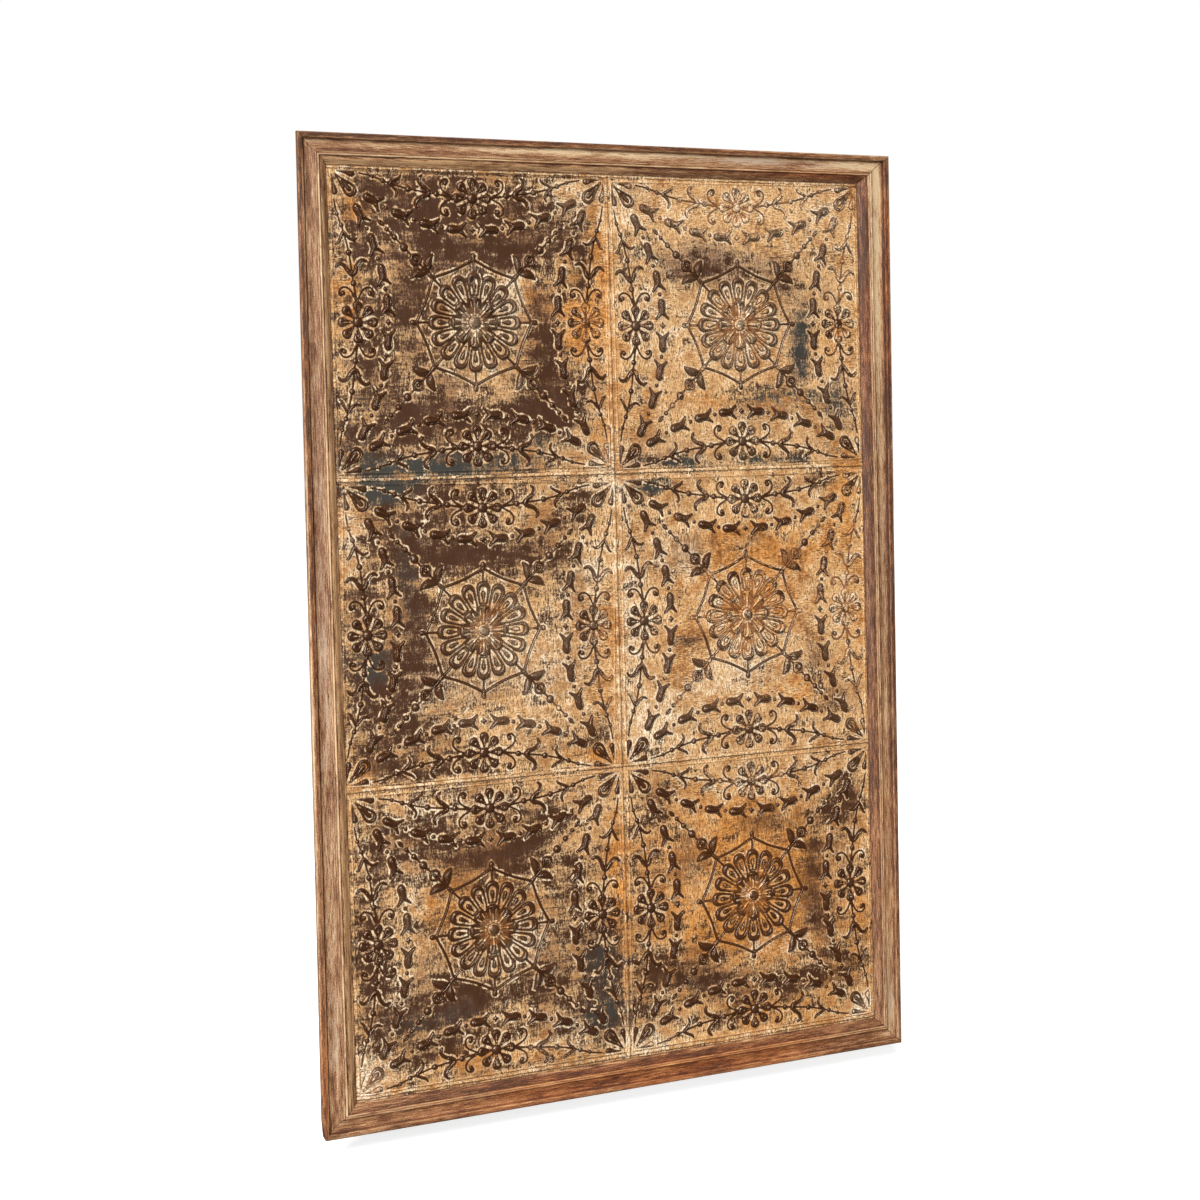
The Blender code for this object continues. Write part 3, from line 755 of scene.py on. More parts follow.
class Finish:
    """A material's nodes, wired in plain steps."""

    def __init__(self, name):
        self.material = bpy.data.materials.new(name)
        self.material.use_nodes = True
        self.tree = self.material.node_tree
        self.shader = next(node for node in self.tree.nodes if node.type == "BSDF_PRINCIPLED")
        self.place = self.node("ShaderNodeTexCoord").outputs["Object"]

    def node(self, kind, **settings):
        made = self.tree.nodes.new(kind)
        for name, value in settings.items():
            setattr(made, name, value)
        return made

    def feed(self, socket, value):
        if isinstance(value, bpy.types.NodeSocket):
            self.tree.links.new(value, socket)
        else:
            socket.default_value = value

    def sum(self, operation, *values, clamp=False):
        made = self.node("ShaderNodeMath", operation=operation, use_clamp=clamp)
        for socket, value in zip(made.inputs, values):
            self.feed(socket, value)
        return made.outputs[0]

    def times(self, value, by, clamp=False):
        return self.sum("MULTIPLY", value, by, clamp=clamp)

    def total(self, *terms):
        """Sum of (value, weight) pairs and plain numbers."""
        result = 0.0
        for term in terms:
            value, weight = term if isinstance(term, tuple) else (term, 1.0)
            result = self.sum("MULTIPLY_ADD", value, weight, result)
        return result

    def most(self, values):
        """The greatest of several values."""
        result = values[0]
        for value in values[1:]:
            result = self.sum("MAXIMUM", result, value)
        return result

    def between(self, value, low, high, smooth=True):
        """0 below low and 1 above high; the other way round when low is the greater."""
        made = self.node("ShaderNodeMapRange", interpolation_type="SMOOTHSTEP" if smooth else "LINEAR")
        settings = (low, high, 0.0, 1.0) if low <= high else (high, low, 1.0, 0.0)
        self.feed(made.inputs["Value"], value)
        for socket, number in zip(("From Min", "From Max", "To Min", "To Max"), settings):
            made.inputs[socket].default_value = number
        return made.outputs["Result"]

    def mask(self, low, high, *terms):
        """0 where the total of the terms is at low, and 1 where it is at high."""
        return self.between(self.total(*terms), low, high)

    def either(self, share, first, second):
        """The first value where the share is 1, and the second where it is 0."""
        rest = self.sum("SUBTRACT", 1.0, share)
        return self.total(self.times(share, first), self.times(rest, second))

    def kept(self, name):
        """The number kept for each point under this name."""
        return self.node("ShaderNodeAttribute", attribute_name=name).outputs["Fac"]

    def stretched(self, stretch, turn=(0, 0, 0), place=None):
        made = self.node("ShaderNodeMapping")
        self.feed(made.inputs["Vector"], self.place if place is None else place)
        made.inputs["Scale"].default_value = stretch
        made.inputs["Rotation"].default_value = turn
        return made.outputs["Vector"]

    def grain(self, place, scale, detail=2.0, roughness=0.5, distortion=0.0):
        """Noise centred on nought, about -0.5 to 0.5."""
        made = self.node("ShaderNodeTexNoise")
        self.feed(made.inputs["Vector"], place)
        for socket, number in (("Scale", scale), ("Detail", detail), ("Roughness", roughness),
                               ("Distortion", distortion)):
            made.inputs[socket].default_value = number
        return self.sum("SUBTRACT", made.outputs[0], 0.5)

    def mix(self, share, first, second, blend="MIX"):
        made = self.node("ShaderNodeMix", data_type="RGBA", blend_type=blend, clamp_factor=True)
        sockets = [socket for socket in made.inputs if socket.type == "RGBA"]
        self.feed(made.inputs[0], share)
        self.feed(sockets[0], first)
        self.feed(sockets[1], second)
        return next(socket for socket in made.outputs if socket.type == "RGBA")

    def bump(self, height, distance, strength=1.0):
        made = self.node("ShaderNodeBump")
        made.inputs["Strength"].default_value = strength
        made.inputs["Distance"].default_value = distance
        self.feed(made.inputs["Height"], height)
        return made.outputs["Normal"]

    def done(self, colour, roughness, normal, **constants):
        self.feed(self.shader.inputs["Base Color"], colour)
        self.feed(self.shader.inputs["Roughness"], roughness)
        self.feed(self.shader.inputs["Normal"], normal)
        for name, value in constants.items():
            self.shader.inputs[name.replace("_", " ")].default_value = value
        return self.material


# Across a seam: (place, half width, strength) of its painted ridges and dark lines. The seams that
# stand upright show less than the level ones.
SEAM_RIDGES = ((3.1, 2.9, 1.0), (9.6, 1.7, 0.5), (-8.6, 1.7, 0.5))
SEAM_LINES = ((-0.9, 1.1, 1.0), (6.9, 0.7, 0.6))
UPRIGHT_SEAM, LEVEL_SEAM = 0.75, 1.0

# Near-black colour laid along the seams' lines on the sheets' back
SEAM_BACK_DARK = (0.008, 0.005, 0.003, 1)
FINE_DARK, FINE_PALE = (0.43, 0.32, 0.22, 1), (1.25, 1.30, 1.38, 1)


def seam_lines(f, wander, broken):
    """Masks of the painted ridge and the dark lines of the laps, from each point's distance to them."""
    split = f.node("ShaderNodeSeparateXYZ")
    f.feed(split.inputs[0], f.place)
    up = f.sum("SUBTRACT", split.outputs["Z"], MIDDLE_Z)
    beside = f.total((split.outputs["X"], -1 / MM), (up, -LEAN / MM))
    above = f.sum("WRAP", f.total((up, 1 / MM), -PITCH / 2), PITCH / 2, -PITCH / 2)
    ridges, lines = [], []
    for gap, weight in ((beside, UPRIGHT_SEAM), (above, LEVEL_SEAM)):
        gap = f.total(gap, wander)
        for at, wide, strong in SEAM_RIDGES:
            far = f.sum("ABSOLUTE", f.sum("SUBTRACT", gap, at))
            ridges.append(f.times(f.between(far, wide + 0.5, wide - 0.6), weight * strong))
        for at, wide, strong in SEAM_LINES:
            far = f.sum("ABSOLUTE", f.sum("SUBTRACT", gap, at))
            mark = f.times(f.between(far, wide + 0.4, wide - 0.4), broken)
            lines.append(f.times(mark, weight * strong))
    return f.most(ridges), f.most(lines), split.outputs["Y"]


def pressed_iron(looks):
    """Dark varnished iron under old ochre paint that has worn off in broad, brushed patches."""
    f = Finish("pressed_iron_finish")
    edge, top, out = f.kept("edge"), f.kept("top"), f.kept("out")
    worn, covered, warm = f.kept("worn"), f.kept("covered"), f.kept("orange")
    upright = f.stretched((1, 1, 0.16), turn=(0, math.radians(7), 0))
    slanted = f.stretched((1, 1, 0.16), turn=(0, math.radians(-24), 0))
    level = f.stretched((0.2, 1, 1))
    tilted = f.stretched((0.2, 1, 1), turn=(0, math.radians(5), 0))

    # Noise from broad to fine, and noise drawn out along the brush
    cloud = f.grain(f.place, 9, 3, 0.55)
    blotch = f.grain(f.place, 34, 6, 0.66)
    chip = f.grain(f.place, 80, 4, 0.66)
    speck = f.grain(f.place, 230, 5, 0.8)
    hair = f.grain(upright, 560, 2, 0.6)
    smear = f.grain(level, 230, 3, 0.6)
    sweep = f.grain(tilted, 62, 4, 0.62)
    turned = f.between(cloud, -0.04, 0.04)
    streak = f.either(turned, f.grain(slanted, 190, 4, 0.65), f.grain(upright, 190, 4, 0.65))
    across = f.mask(0.10, 0.40, (covered, 0.7), (worn, -0.4), (cloud, 2.2))
    lie = f.either(across, f.grain(level, 470, 2, 0.6), hair)
    broken = f.mask(0.05, 0.45, 0.42, (blotch, 2.4), (speck, 1.2), cloud)
    ridge, line, depth = seam_lines(f, f.total((streak, 7.0), (blotch, 9.0)), broken)

    # Paint on the field: brushed thin, flaked and scratched, and thick round the relief
    fleck = f.between(f.grain(f.place, 150, 5, 0.72), 0.07, 0.16)
    scratch = f.times(f.between(f.grain(f.stretched((0.035, 1, 1)), 330, 3, 0.6), 0.11, 0.17),
                      f.mask(-0.02, 0.08, cloud, blotch))
    hollow = f.times(f.mask(3.9, 2.3, edge, (speck, 7.0), (chip, 12.0), (streak, 4.0)),
                     f.mask(0.05, 0.3, 0.36, (chip, -3.0), (covered, 0.3), (worn, -0.25)))
    brushed = f.mask(0.10, 0.62, 0.68, (worn, -0.95), (covered, 0.32), streak, (lie, 0.8), (sweep, 1.5),
                     (blotch, 2.0), (speck, 2.1), (ridge, 0.4), (fleck, -0.42), (scratch, -0.45))
    field_paint = f.sum("MAXIMUM", brushed, f.times(hollow, 0.92))

    # Paint left on the relief: least on its high tops, most between the rosette's inner petals
    low = f.between(top, 4.4, 3.6)
    fan = f.times(f.between(out, 33, 25), f.between(out, 9.5, 12))
    left_on = f.mask(0.14, 0.32, 0.60, (covered, 0.80), (worn, -1.25), (top, -0.125), (low, -0.42),
                     (blotch, 2.4), (speck, 2.2), streak, (fleck, -0.2), (fan, 1.3))
    relief_paint = f.sum("MAXIMUM", left_on, f.total((covered, 0.24), (warm, -0.30)))
    raised = f.between(edge, 0.40, -0.10)
    paint = f.either(raised, relief_paint, field_paint)
    paint = f.times(paint, f.total(1.0, (line, -0.85)), clamp=True)

    # Colours of the paint
    orange = f.mask(0.0, 0.85, (warm, 0.9), (blotch, 2.0), (streak, 0.9), (cloud, 1.4), (ridge, 0.1))
    cream = f.mask(0.0, 0.85, (f.kept("cream"), 0.6), (blotch, -1.8), (streak, 1.4), (hair, 0.9),
                   (hollow, 0.42), (speck, 1.4), (ridge, 0.22), (warm, -0.35))
    stained = f.mask(-0.04, 0.48, (speck, 1.7), (hair, 1.4), (smear, 0.8), (blotch, 1.4), cloud)
    thin = f.mask(0.22, 0.90, (f.kept("veil"), 0.9), (blotch, 2.0), (streak, 2.2), (smear, 0.9), (speck, 2.2))
    fine = f.mask(-0.36, 0.28, (lie, 2.1), (speck, 1.5), (f.grain(f.place, 420, 4, 0.8), 1.6))
    ochre = f.mix(orange, looks.ochre, looks.orange)
    ochre = f.mix(cream, ochre, looks.cream)
    ochre = f.mix(f.times(stained, 0.8), ochre, looks.stain)
    ochre = f.mix(f.times(thin, 0.72), ochre, f.mix(orange, looks.veil, looks.umber))
    ochre = f.mix(1.0, ochre, f.mix(fine, FINE_DARK, FINE_PALE), "MULTIPLY")

    # Colours of the bare iron
    teal = f.mask(0.15, 0.75, (f.kept("teal"), 0.9), (cloud, 1.2), (blotch, 1.2))
    rubbed = f.mask(0.45, 1.3, warm, (covered, 0.3), (worn, -0.8), (blotch, 1.4), (low, 0.1))
    dark = f.mix(f.between(blotch, -0.12, 0.2), looks.iron, looks.purple)
    dark = f.mix(teal, dark, looks.teal)
    dark = f.mix(f.times(orange, 0.4), dark, looks.umber)
    dark = f.mix(f.times(raised, 0.8), dark, f.mix(rubbed, looks.iron, looks.umber))
    dark = f.mix(f.mask(0.12, 0.34, speck, (hair, 0.6)), dark, looks.rust)
    colour = f.mix(paint, dark, ochre)

    # Grime and painted shade in the corner where the relief meets the field
    foot = f.times(f.between(edge, 1.5, 0.4), f.between(edge, -1.4, -0.4))
    foot = f.times(foot, f.mask(0.10, 0.60, 0.60, (speck, 2.4), (streak, 1.2), (blotch, 2.0)))
    painted = f.mask(0.15, 0.75, covered, (worn, -1.1), (blotch, 2.0))
    colour = f.mix(f.times(foot, 0.85), colour, f.mix(painted, looks.iron, looks.grime_and_shade))

    # Plain rusty back with dark seams
    behind = f.between(depth, -7.6 * MM, -6.9 * MM, smooth=False)
    rust = f.mix(f.between(blotch, -0.15, 0.2), looks.iron, looks.rust)
    rust = f.mix(f.times(line, 0.85), rust, SEAM_BACK_DARK)
    colour = f.mix(behind, colour, rust)

    roughness = f.total(0.47, (paint, 0.25), (raised, -0.24), (speck, 0.3), (streak, 0.2), (behind, 0.2))
    relief = f.total((paint, 0.25), (streak, 0.30), (lie, 0.45), (speck, 0.45), (blotch, 0.3), (line, -0.6))
    normal = f.bump(relief, 1.1 * MM, 0.9)
    return f.done(colour, roughness, normal, Metallic=0.0, Specular_IOR_Level=0.6,
                  Specular_Tint=(1, 0.80, 0.62, 1))


# Frame -----------------------------------------------------------------------------

# Rail section, round from the back's outer edge: (across from the outer edge, off the wall)
SECTION = (
    (7, 0), (3.5, 8.5), (0, 17), (0, 20), (0, 23.3), (0.8, 24.8), (2, 25.7), (3.4, 26), (6, 26),
    (8.8, 26), (10.3, 25.5), (11.3, 24.4), (11.7, 22), (12, 19.4), (13, 18.7), (16, 18.2), (20, 18),
    (24, 18.2), (28, 18.6), (31.5, 19.5), (34.5, 20.8), (34.9, 22.2), (35.5, 23.3), (36.6, 23.8),
    (37.7, 23.3), (38.4, 22.2), (39.3, 22.2), (40.1, 23.3), (41.2, 23.8), (42.3, 23.3), (42.9, 22),
    (43.5, 20.3), (46, 19.9), (48, 19.4), (50, 18.3), (52, 16.8), (54, 14.8), (56, 12.6), (58, 11.3),
    (60, 10.4), (60, 8.8), (56, 8.8), (52, 8.8), (52, 4), (52, 0), (30, 0),
)
PROFILE_WIDTH = 60.0
MITRE_GAP = 0.25
STATION = 7.0                    # between rings of the moulding
GRAIN_SHIFT = 3                  # metres between the rails' stretches of grain, so that no two match
RAILS = {"frame_top": (0, 1), "frame_right": (1, 2), "frame_bottom": (2, 3), "frame_left": (3, 0)}

# Wear of the rails' shape
ARRISES = ((1.5, 25.5, 4, 1.0), (10.8, 25, 3, 1.0), (41.2, 23.8, 2, 0.6))   # across, off, reach, amount
DENT = 1.1
CRACK = (102, 24, 22, 3.0, 4.5)  # in the left rail: along, half length, across, half width, depth
WORN_CORNER = ((0.0, 42.0), (7.5, 0.0))     # ends of the cut, from the frame's lower left corner

# How pale the wood is from the outer edge to the inner, as (across, tone). The dark tones in the quirk behind
# the lip and in the groove beside the beads are painted shade.
WOOD_TONES_AND_SHADE = (
    (0, 0.56), (1.6, 0.60), (3.4, 0.34), (8.6, 0.34), (10.4, 0.58), (11.6, 0.30), (12.8, 0.14), (14.4, 0.50),
    (18, 0.56), (28, 0.52), (33, 0.42), (34.9, 0.36), (36.4, 0.66), (37.4, 0.62), (38.8, 0.44), (40.8, 0.86),
    (42.0, 0.80), (43.4, 0.16), (45, 0.30), (51, 0.50), (57, 0.40), (60, 0.16),
)

# Soft patches on each rail, as (along in metres, across in millimetres, half length, half width, amount):
# pale paint, dark dirt, red stain, and the sheets' ochre, which is also painted light that lifts the shade on
# the inner slope. An amount below nought takes some away.
# Each rail runs clockwise: the top one to the right, the right one down, and so on.
RAIL_WEAR = {
    "pale": {
        "frame_top": ((1.25, 24, 0.10, 12, 1.0), (0.62, 20, 0.25, 9, 0.9),
                      (0.95, 16, 0.20, 3, 0.6), (1.05, 20, 0.12, 6, 0.45)),
        "frame_right": ((0.08, 26, 0.16, 12, 1.2), (0.30, 28, 0.18, 10, 0.9), (0.62, 24, 0.22, 5, 0.4),
                        (1.15, 22, 0.10, 4, 0.5), (1.86, 24, 0.07, 9, 0.9), (0.4, 1, 0.4, 2, 0.5),
                        (1.70, 30, 0.08, 4, 0.6)),
        "frame_bottom": ((0.03, 24, 0.03, 6, 0.7), (1.25, 8, 0.08, 4, 0.5), (0.72, 6, 0.20, 4, 0.5),
                         (0.30, 6, 0.12, 4, 0.3)),
        "frame_left": ((0.14, 12, 0.13, 3.0, 1.0), (0.13, 27, 0.08, 3, 0.7), (0.45, 11, 0.20, 2.0, 0.6),
                       (0.80, 2, 0.30, 2, 0.7), (1.25, 2, 0.25, 1.6, 0.6), (1.76, 10, 0.16, 2.0, 0.7),
                       (0.82, 27, 0.12, 1.5, 0.7), (1.60, 50, 0.30, 6, 0.4)),
    },
    "dark": {
        "frame_top": ((0.14, 31, 0.10, 3.5, 0.8), (0.45, 30, 0.14, 3, 0.8), (0.40, 3, 0.40, 4, 0.9),
                      (1.12, 24, 0.05, 6, 0.7), (0.90, 6, 0.25, 4, 0.35), (1.20, 50, 0.22, 7, 0.6),
                      (0.80, 45, 0.10, 3, 0.6), (0.03, 4, 0.03, 4, 0.6)),
        "frame_right": ((0.40, 10, 0.45, 5, 0.9), (0.30, 52, 0.40, 8, 0.85), (1.20, 14, 0.30, 3, 0.5),
                        (1.05, 52, 0.60, 7, 0.6), (0.02, 13, 0.03, 4, 1.0), (0.95, 6, 0.30, 4, 0.6),
                        (1.78, 20, 0.03, 5, 0.7), (1.50, 5, 0.30, 4, 0.4)),
        "frame_bottom": ((0.62, 22, 0.50, 8, 0.65), (0.70, 52, 0.60, 6, 0.55), (1.30, 13, 0.04, 5, 0.8),
                         (0.90, 50, 0.35, 4, 0.7), (0.30, 50, 0.25, 4, 0.5), (0.95, 1, 0.30, 2, 0.6),
                         (0.20, 26, 0.10, 5, 0.3)),
        "frame_left": ((0.10, 23, 0.035, 3.0, 1.0), (0.22, 21, 0.08, 3, 0.6), (1.45, 20, 0.20, 5, 0.6),
                       (1.84, 20, 0.07, 5, 0.9), (0.85, 20, 0.30, 6, 0.35), (1.92, 12, 0.02, 4, 0.9),
                       (1.50, 5, 0.40, 4, 0.7), (1.10, 6, 0.40, 3.5, 0.4), (0.03, 16, 0.03, 6, 0.8),
                       (1.25, 22, 0.20, 7, 0.4), (1.78, 2, 0.16, 3, 0.8)),
    },
    "red": {
        "frame_top": ((0.80, 6, 0.60, 6, 0.5), (1.15, 46, 0.25, 8, 0.8), (0.55, 43, 0.20, 2, 0.9),
                      (1.02, 22, 0.22, 8, -0.8)),
        "frame_right": ((1.40, 30, 0.40, 40, 0.3), (0.30, 8, 0.40, 8, 0.7), (0.30, 52, 0.40, 9, 0.45),
                        (0.95, 22, 0.30, 8, -0.5), (1.84, 24, 0.06, 9, -0.9), (0.95, 54, 0.80, 5, 0.4)),
        "frame_bottom": ((0.60, 24, 0.60, 40, 1.0),),
        "frame_left": ((0.12, 6, 0.25, 7, 0.9), (0.90, 8, 0.60, 5, 0.5), (1.70, 4, 0.30, 5, 0.4),
                       (1.10, 24, 0.55, 9, -0.6), (0.20, 24, 0.14, 8, -0.5)),
    },
    "gilt_and_painted_light": {
        "frame_top": ((0.30, 53, 0.45, 9, 1.0),),
        "frame_right": ((0.10, 59, 0.10, 3, 0.5),),
        "frame_bottom": ((0.70, 58, 0.60, 3, 0.6),),
        "frame_left": ((0.90, 52, 1.20, 10, 1.0),),
    },
}


def weathered(name, number, held, across, off_wall):
    """How far off the wall a rail's places are left by dents in its arrises, its sway and its crack."""
    front = (off_wall > 10) & (across < PROFILE_WIDTH - 1)
    arris = sum(amount * np.clip(1 - np.hypot(across - x, off_wall - y) / reach, 0, 1)
                for x, y, reach, amount in ARRISES)
    dents = np.clip(ragged(held, 45, number) - 0.25, 0, 1) ** 2
    dents += 0.3 * np.clip(ragged(held, 14, number + 9), 0, 1)
    sway = 0.16 * ragged(held, 120, number + 20) + 0.07 * ragged(held + 40 * across, 30, number + 30)
    off_wall = off_wall - front * (arris * dents * DENT + np.abs(sway))
    if name == "frame_left":
        along, long, middle, wide, deep = CRACK
        off_wall = off_wall - deep * np.exp(-((held - along) / long) ** 4 - ((across - middle) / wide) ** 4)
    return off_wall


def rail_mesh(name, number):
    """A run of moulding: the section carried from mitre to mitre, worn, and closed at its ends."""
    start, end = RAILS[name]
    outer, inner = corners(*PANEL_SIZE, 0), corners(*OPENING, LEAN)
    way = outer[end] - outer[start]
    length = np.hypot(*way)
    stations, around = round(length / STATION), len(SECTION)
    nothing_selected()
    bpy.ops.mesh.primitive_grid_add(x_subdivisions=around, y_subdivisions=stations, size=1)
    item = bpy.context.object
    item.name = item.data.name = name + "_moulding"
    mesh = item.data
    spots = np.empty(len(mesh.vertices) * 3)
    mesh.vertices.foreach_get("co", spots)
    step, station = np.round((spots.reshape(-1, 3)[:, :2].T + 0.5) * [[around], [stations]]).astype(int)

    # Place each point of the grid on the section and along the rail
    section = np.array(SECTION + SECTION[:1], float)
    across, off_wall = section[step].T
    share = (across / PROFILE_WIDTH)[:, None]
    first = outer[start] + (inner[start] - outer[start]) * share + MITRE_GAP * way / length
    last = outer[end] + (inner[end] - outer[end]) * share - MITRE_GAP * way / length
    flat = first + (last - first) * (station / stations)[:, None]
    held = np.clip((flat - outer[start]) @ way / length, 0, length)
    off_wall = weathered(name, number, held, across, off_wall)
    put_places(mesh, np.column_stack([flat, off_wall]))

    # Keep what the finish reads
    put_values(mesh, "across", across)
    put_values(mesh, "mitre", np.minimum((flat - first) @ way, (last - flat) @ way) / length)
    for kept, rails in RAIL_WEAR.items():
        put_values(mesh, kept, patched(np.stack([held * MM, across], 1), rails[name]))
    run = np.concatenate([[0], np.cumsum(np.hypot(*np.diff(section, axis=0).T))])
    grain = np.stack([held * MM + GRAIN_SHIFT * number, run[step] * MM], 1)
    corner_of = np.empty(len(mesh.loops), int)
    mesh.loops.foreach_get("vertex_index", corner_of)
    mesh.uv_layers[0].name = "grain"
    mesh.uv_layers[0].data.foreach_set("uv", grain[corner_of].ravel())

    # Weld the grid into a tube and close its ends
    only_selected(item)
    bpy.ops.object.mode_set(mode="EDIT")
    bpy.ops.mesh.select_all(action="SELECT")
    bpy.ops.mesh.remove_doubles(threshold=1e-5)
    bpy.ops.mesh.select_all(action="DESELECT")
    bpy.ops.mesh.select_non_manifold()
    bpy.ops.mesh.edge_face_add()
    if name in ("frame_bottom", "frame_left"):
        high, low = corners(*PANEL_SIZE, 0)[3] + WORN_CORNER
        cut(high, outward(low, high), use_fill=True, clear_outer=True)
    made_solid()
    return item


def frame_wood(looks):
    """Old softwood under worn stain, with pale paint left in the cove and on the fillet."""
    f = Finish("frame_wood_finish")
    uv = f.node("ShaderNodeUVMap", uv_map="grain").outputs["UV"]

    def drawn_out(along, *settings):
        return f.grain(f.stretched((along, 1, 1), place=uv), *settings)

    fibre = drawn_out(0.045, 1000, 4, 0.65)
    streak = drawn_out(0.06, 330, 5, 0.72, 0.3)
    blotch = drawn_out(0.14, 60, 5, 0.68)
    cloud = drawn_out(0.4, 9, 3, 0.6)
    speck = f.grain(uv, 420, 4, 0.7)

    # Tones across the moulding, with painted shade in its quirk and grooves
    tone_and_shade_bands = f.node("ShaderNodeValToRGB")
    ramp = tone_and_shade_bands.color_ramp
    while len(ramp.elements) < len(WOOD_TONES_AND_SHADE):
        ramp.elements.new(0.5)
    for element, (across, tone) in zip(ramp.elements, WOOD_TONES_AND_SHADE):
        element.position = across / PROFILE_WIDTH
        element.color = (tone, tone, tone, 1)
    f.feed(tone_and_shade_bands.inputs[0], f.sum("DIVIDE", f.total(f.kept("across"), (blotch, 3.0)), PROFILE_WIDTH))
    tone = f.total((tone_and_shade_bands.outputs[0], 0.95), -0.02, (f.kept("pale"), 0.48), (f.kept("dark"), -0.46),
                   (streak, 1.6), (blotch, 1.3), (fibre, 2.0), (cloud, 0.6), (speck, 1.5))
    colour = f.mix(f.between(tone, 0.0, 0.26), looks.wood_dark_and_groove_shade, looks.wood_brown)
    colour = f.mix(f.between(tone, 0.28, 0.62), colour, looks.wood_tan)
    colour = f.mix(f.between(tone, 0.62, 1.0), colour, looks.wood_pale)

    # Red stain, grey weathering and the sheets' paint over the inner edge, which is also painted light that
    # lifts the shade on the inner slope
    reddened = f.kept("red")
    red = f.mask(0.0, 0.9, (reddened, 0.8), (cloud, 1.2), (streak, 1.2))
    colour = f.mix(red, colour, looks.wood_red, "MULTIPLY")
    grey = f.mask(0.05, 0.75, (reddened, -0.8), (cloud, 0.8), (streak, 1.6), (blotch, 1.2))
    weathering = f.mix(f.between(tone, 0.1, 0.9), looks.wood_brown, looks.wood_grey)
    colour = f.mix(f.times(grey, 0.75), colour, weathering)
    gilt_and_painted_light = f.mask(0.2, 0.7, (f.kept("gilt_and_painted_light"), 0.9), (cloud, 0.8), (blotch, 1.6), (streak, 1.2))
    worn_gilt_and_painted_light = f.mix(f.between(tone, 0.05, 0.55), looks.wood_brown, looks.gilt_and_painted_light)
    colour = f.mix(f.times(gilt_and_painted_light, 0.75), colour, worn_gilt_and_painted_light)

    # Dark cracks along the grain and dirt in the mitres
    flaw = f.sum("MAXIMUM", f.mask(-0.15, -0.26, streak, (fibre, 0.7)),
                 f.mask(0.9, 0.3, f.kept("mitre"), (streak, 3.0), (speck, 3.0)))
    colour = f.mix(f.times(flaw, 0.8), colour, looks.wood_dark_and_groove_shade)
    roughness = f.total(0.62, (fibre, 0.25), (tone, -0.08))
    normal = f.bump(f.total((fibre, 0.6), (streak, 0.7), (speck, 0.3), (flaw, -0.3)), 0.9 * MM, 0.8)
    return f.done(colour, roughness, normal, Specular_IOR_Level=0.35)


# Stage -----------------------------------------------------------------------------

# In metres
FLOOR_RADIUS = 30
FLOOR_GAP = 0.05                 # between the frame and the floor
KEY_FROM = (-2.2, -3.0, 2.5)
WINDOW_PLACE, WINDOW_SIZE, WINDOW_COLOUR = (-3.4, -3.9, -0.6), (1.2, 2.6), (0.80, 0.90, 1)
BEHIND_PLACE, BEHIND_SIZE = (1.4, 3.4, 0.4), (2.0, 2.0)
ROOM_COLOUR = (1, 0.97, 0.93, 1)
WHITE = (1, 1, 1, 1)


def plain_floor():
    nothing_selected()
    bpy.ops.mesh.primitive_circle_add(vertices=96, radius=FLOOR_RADIUS, fill_type="NGON", location=(0, 0, 0))
    floor = bpy.context.object
    floor.name = "floor"
    floor.data.transform(floor.matrix_world)
    for point in floor.data.vertices:
        point.co.z = PANEL_BOTTOM - FLOOR_GAP
    f = Finish("floor_finish")
    tone = f.grain(f.place, 0.7, 2)
    colour = f.mix(f.between(tone, -0.3, 0.3), (0.90, 0.90, 0.90, 1), (0.93, 0.93, 0.925, 1))
    floor.data.materials.append(f.done(colour, 0.9, f.bump(tone, 0.1 * MM), Emission_Color=WHITE,
                                       Emission_Strength=0.45))
    floor.visible_glossy = floor.visible_diffuse = False


def soft_light(name, place, size, power, colour=(1, 1, 1)):
    """A soft rectangle of light that faces the panel's middle."""
    lamp = bpy.data.lights.new(name, "AREA")
    lamp.shape, lamp.size, lamp.size_y = "RECTANGLE", size[0], size[1]
    lamp.energy, lamp.color = power, colour
    item = linked(name, lamp)
    item.location = place
    aim = Vector((0, 0, MIDDLE_Z)) - Vector(place)
    item.rotation_euler = aim.to_track_quat("-Z", "Y").to_euler()


def far_light(name, toward, strength):
    lamp = bpy.data.lights.new(name, "SUN")
    lamp.energy, lamp.angle = strength, math.radians(22)
    linked(name, lamp).rotation_euler = Vector(toward).to_track_quat("Z", "Y").to_euler()


def set_camera(place, angles, lens, shift):
    data = bpy.data.cameras.new("camera")
    data.lens, data.sensor_width, data.shift_y = lens, 36.0, shift
    item = linked("camera", data)
    item.location, item.rotation_euler = place, angles
    bpy.context.scene.camera = item


def bright_room(strength):
    """Even white surroundings, a little dimmer as light than they look."""
    world = bpy.data.worlds.new("room")
    bpy.context.scene.world = world
    world.use_nodes = True
    tree = world.node_tree
    seen = next(node for node in tree.nodes if node.type == "BACKGROUND")
    seen.inputs["Color"].default_value = WHITE
    seen.inputs["Strength"].default_value = 1.0
    lit = tree.nodes.new("ShaderNodeBackground")
    lit.inputs["Color"].default_value = ROOM_COLOUR
    lit.inputs["Strength"].default_value = strength
    path = tree.nodes.new("ShaderNodeLightPath")
    mix = tree.nodes.new("ShaderNodeMixShader")
    out = next(node for node in tree.nodes if node.type == "OUTPUT_WORLD")
    tree.links.new(path.outputs["Is Camera Ray"], mix.inputs[0])
    tree.links.new(lit.outputs[0], mix.inputs[1])
    tree.links.new(seen.outputs[0], mix.inputs[2])
    tree.links.new(mix.outputs[0], out.inputs["Surface"])


# Add-on ------------------------------------------------------------------------------

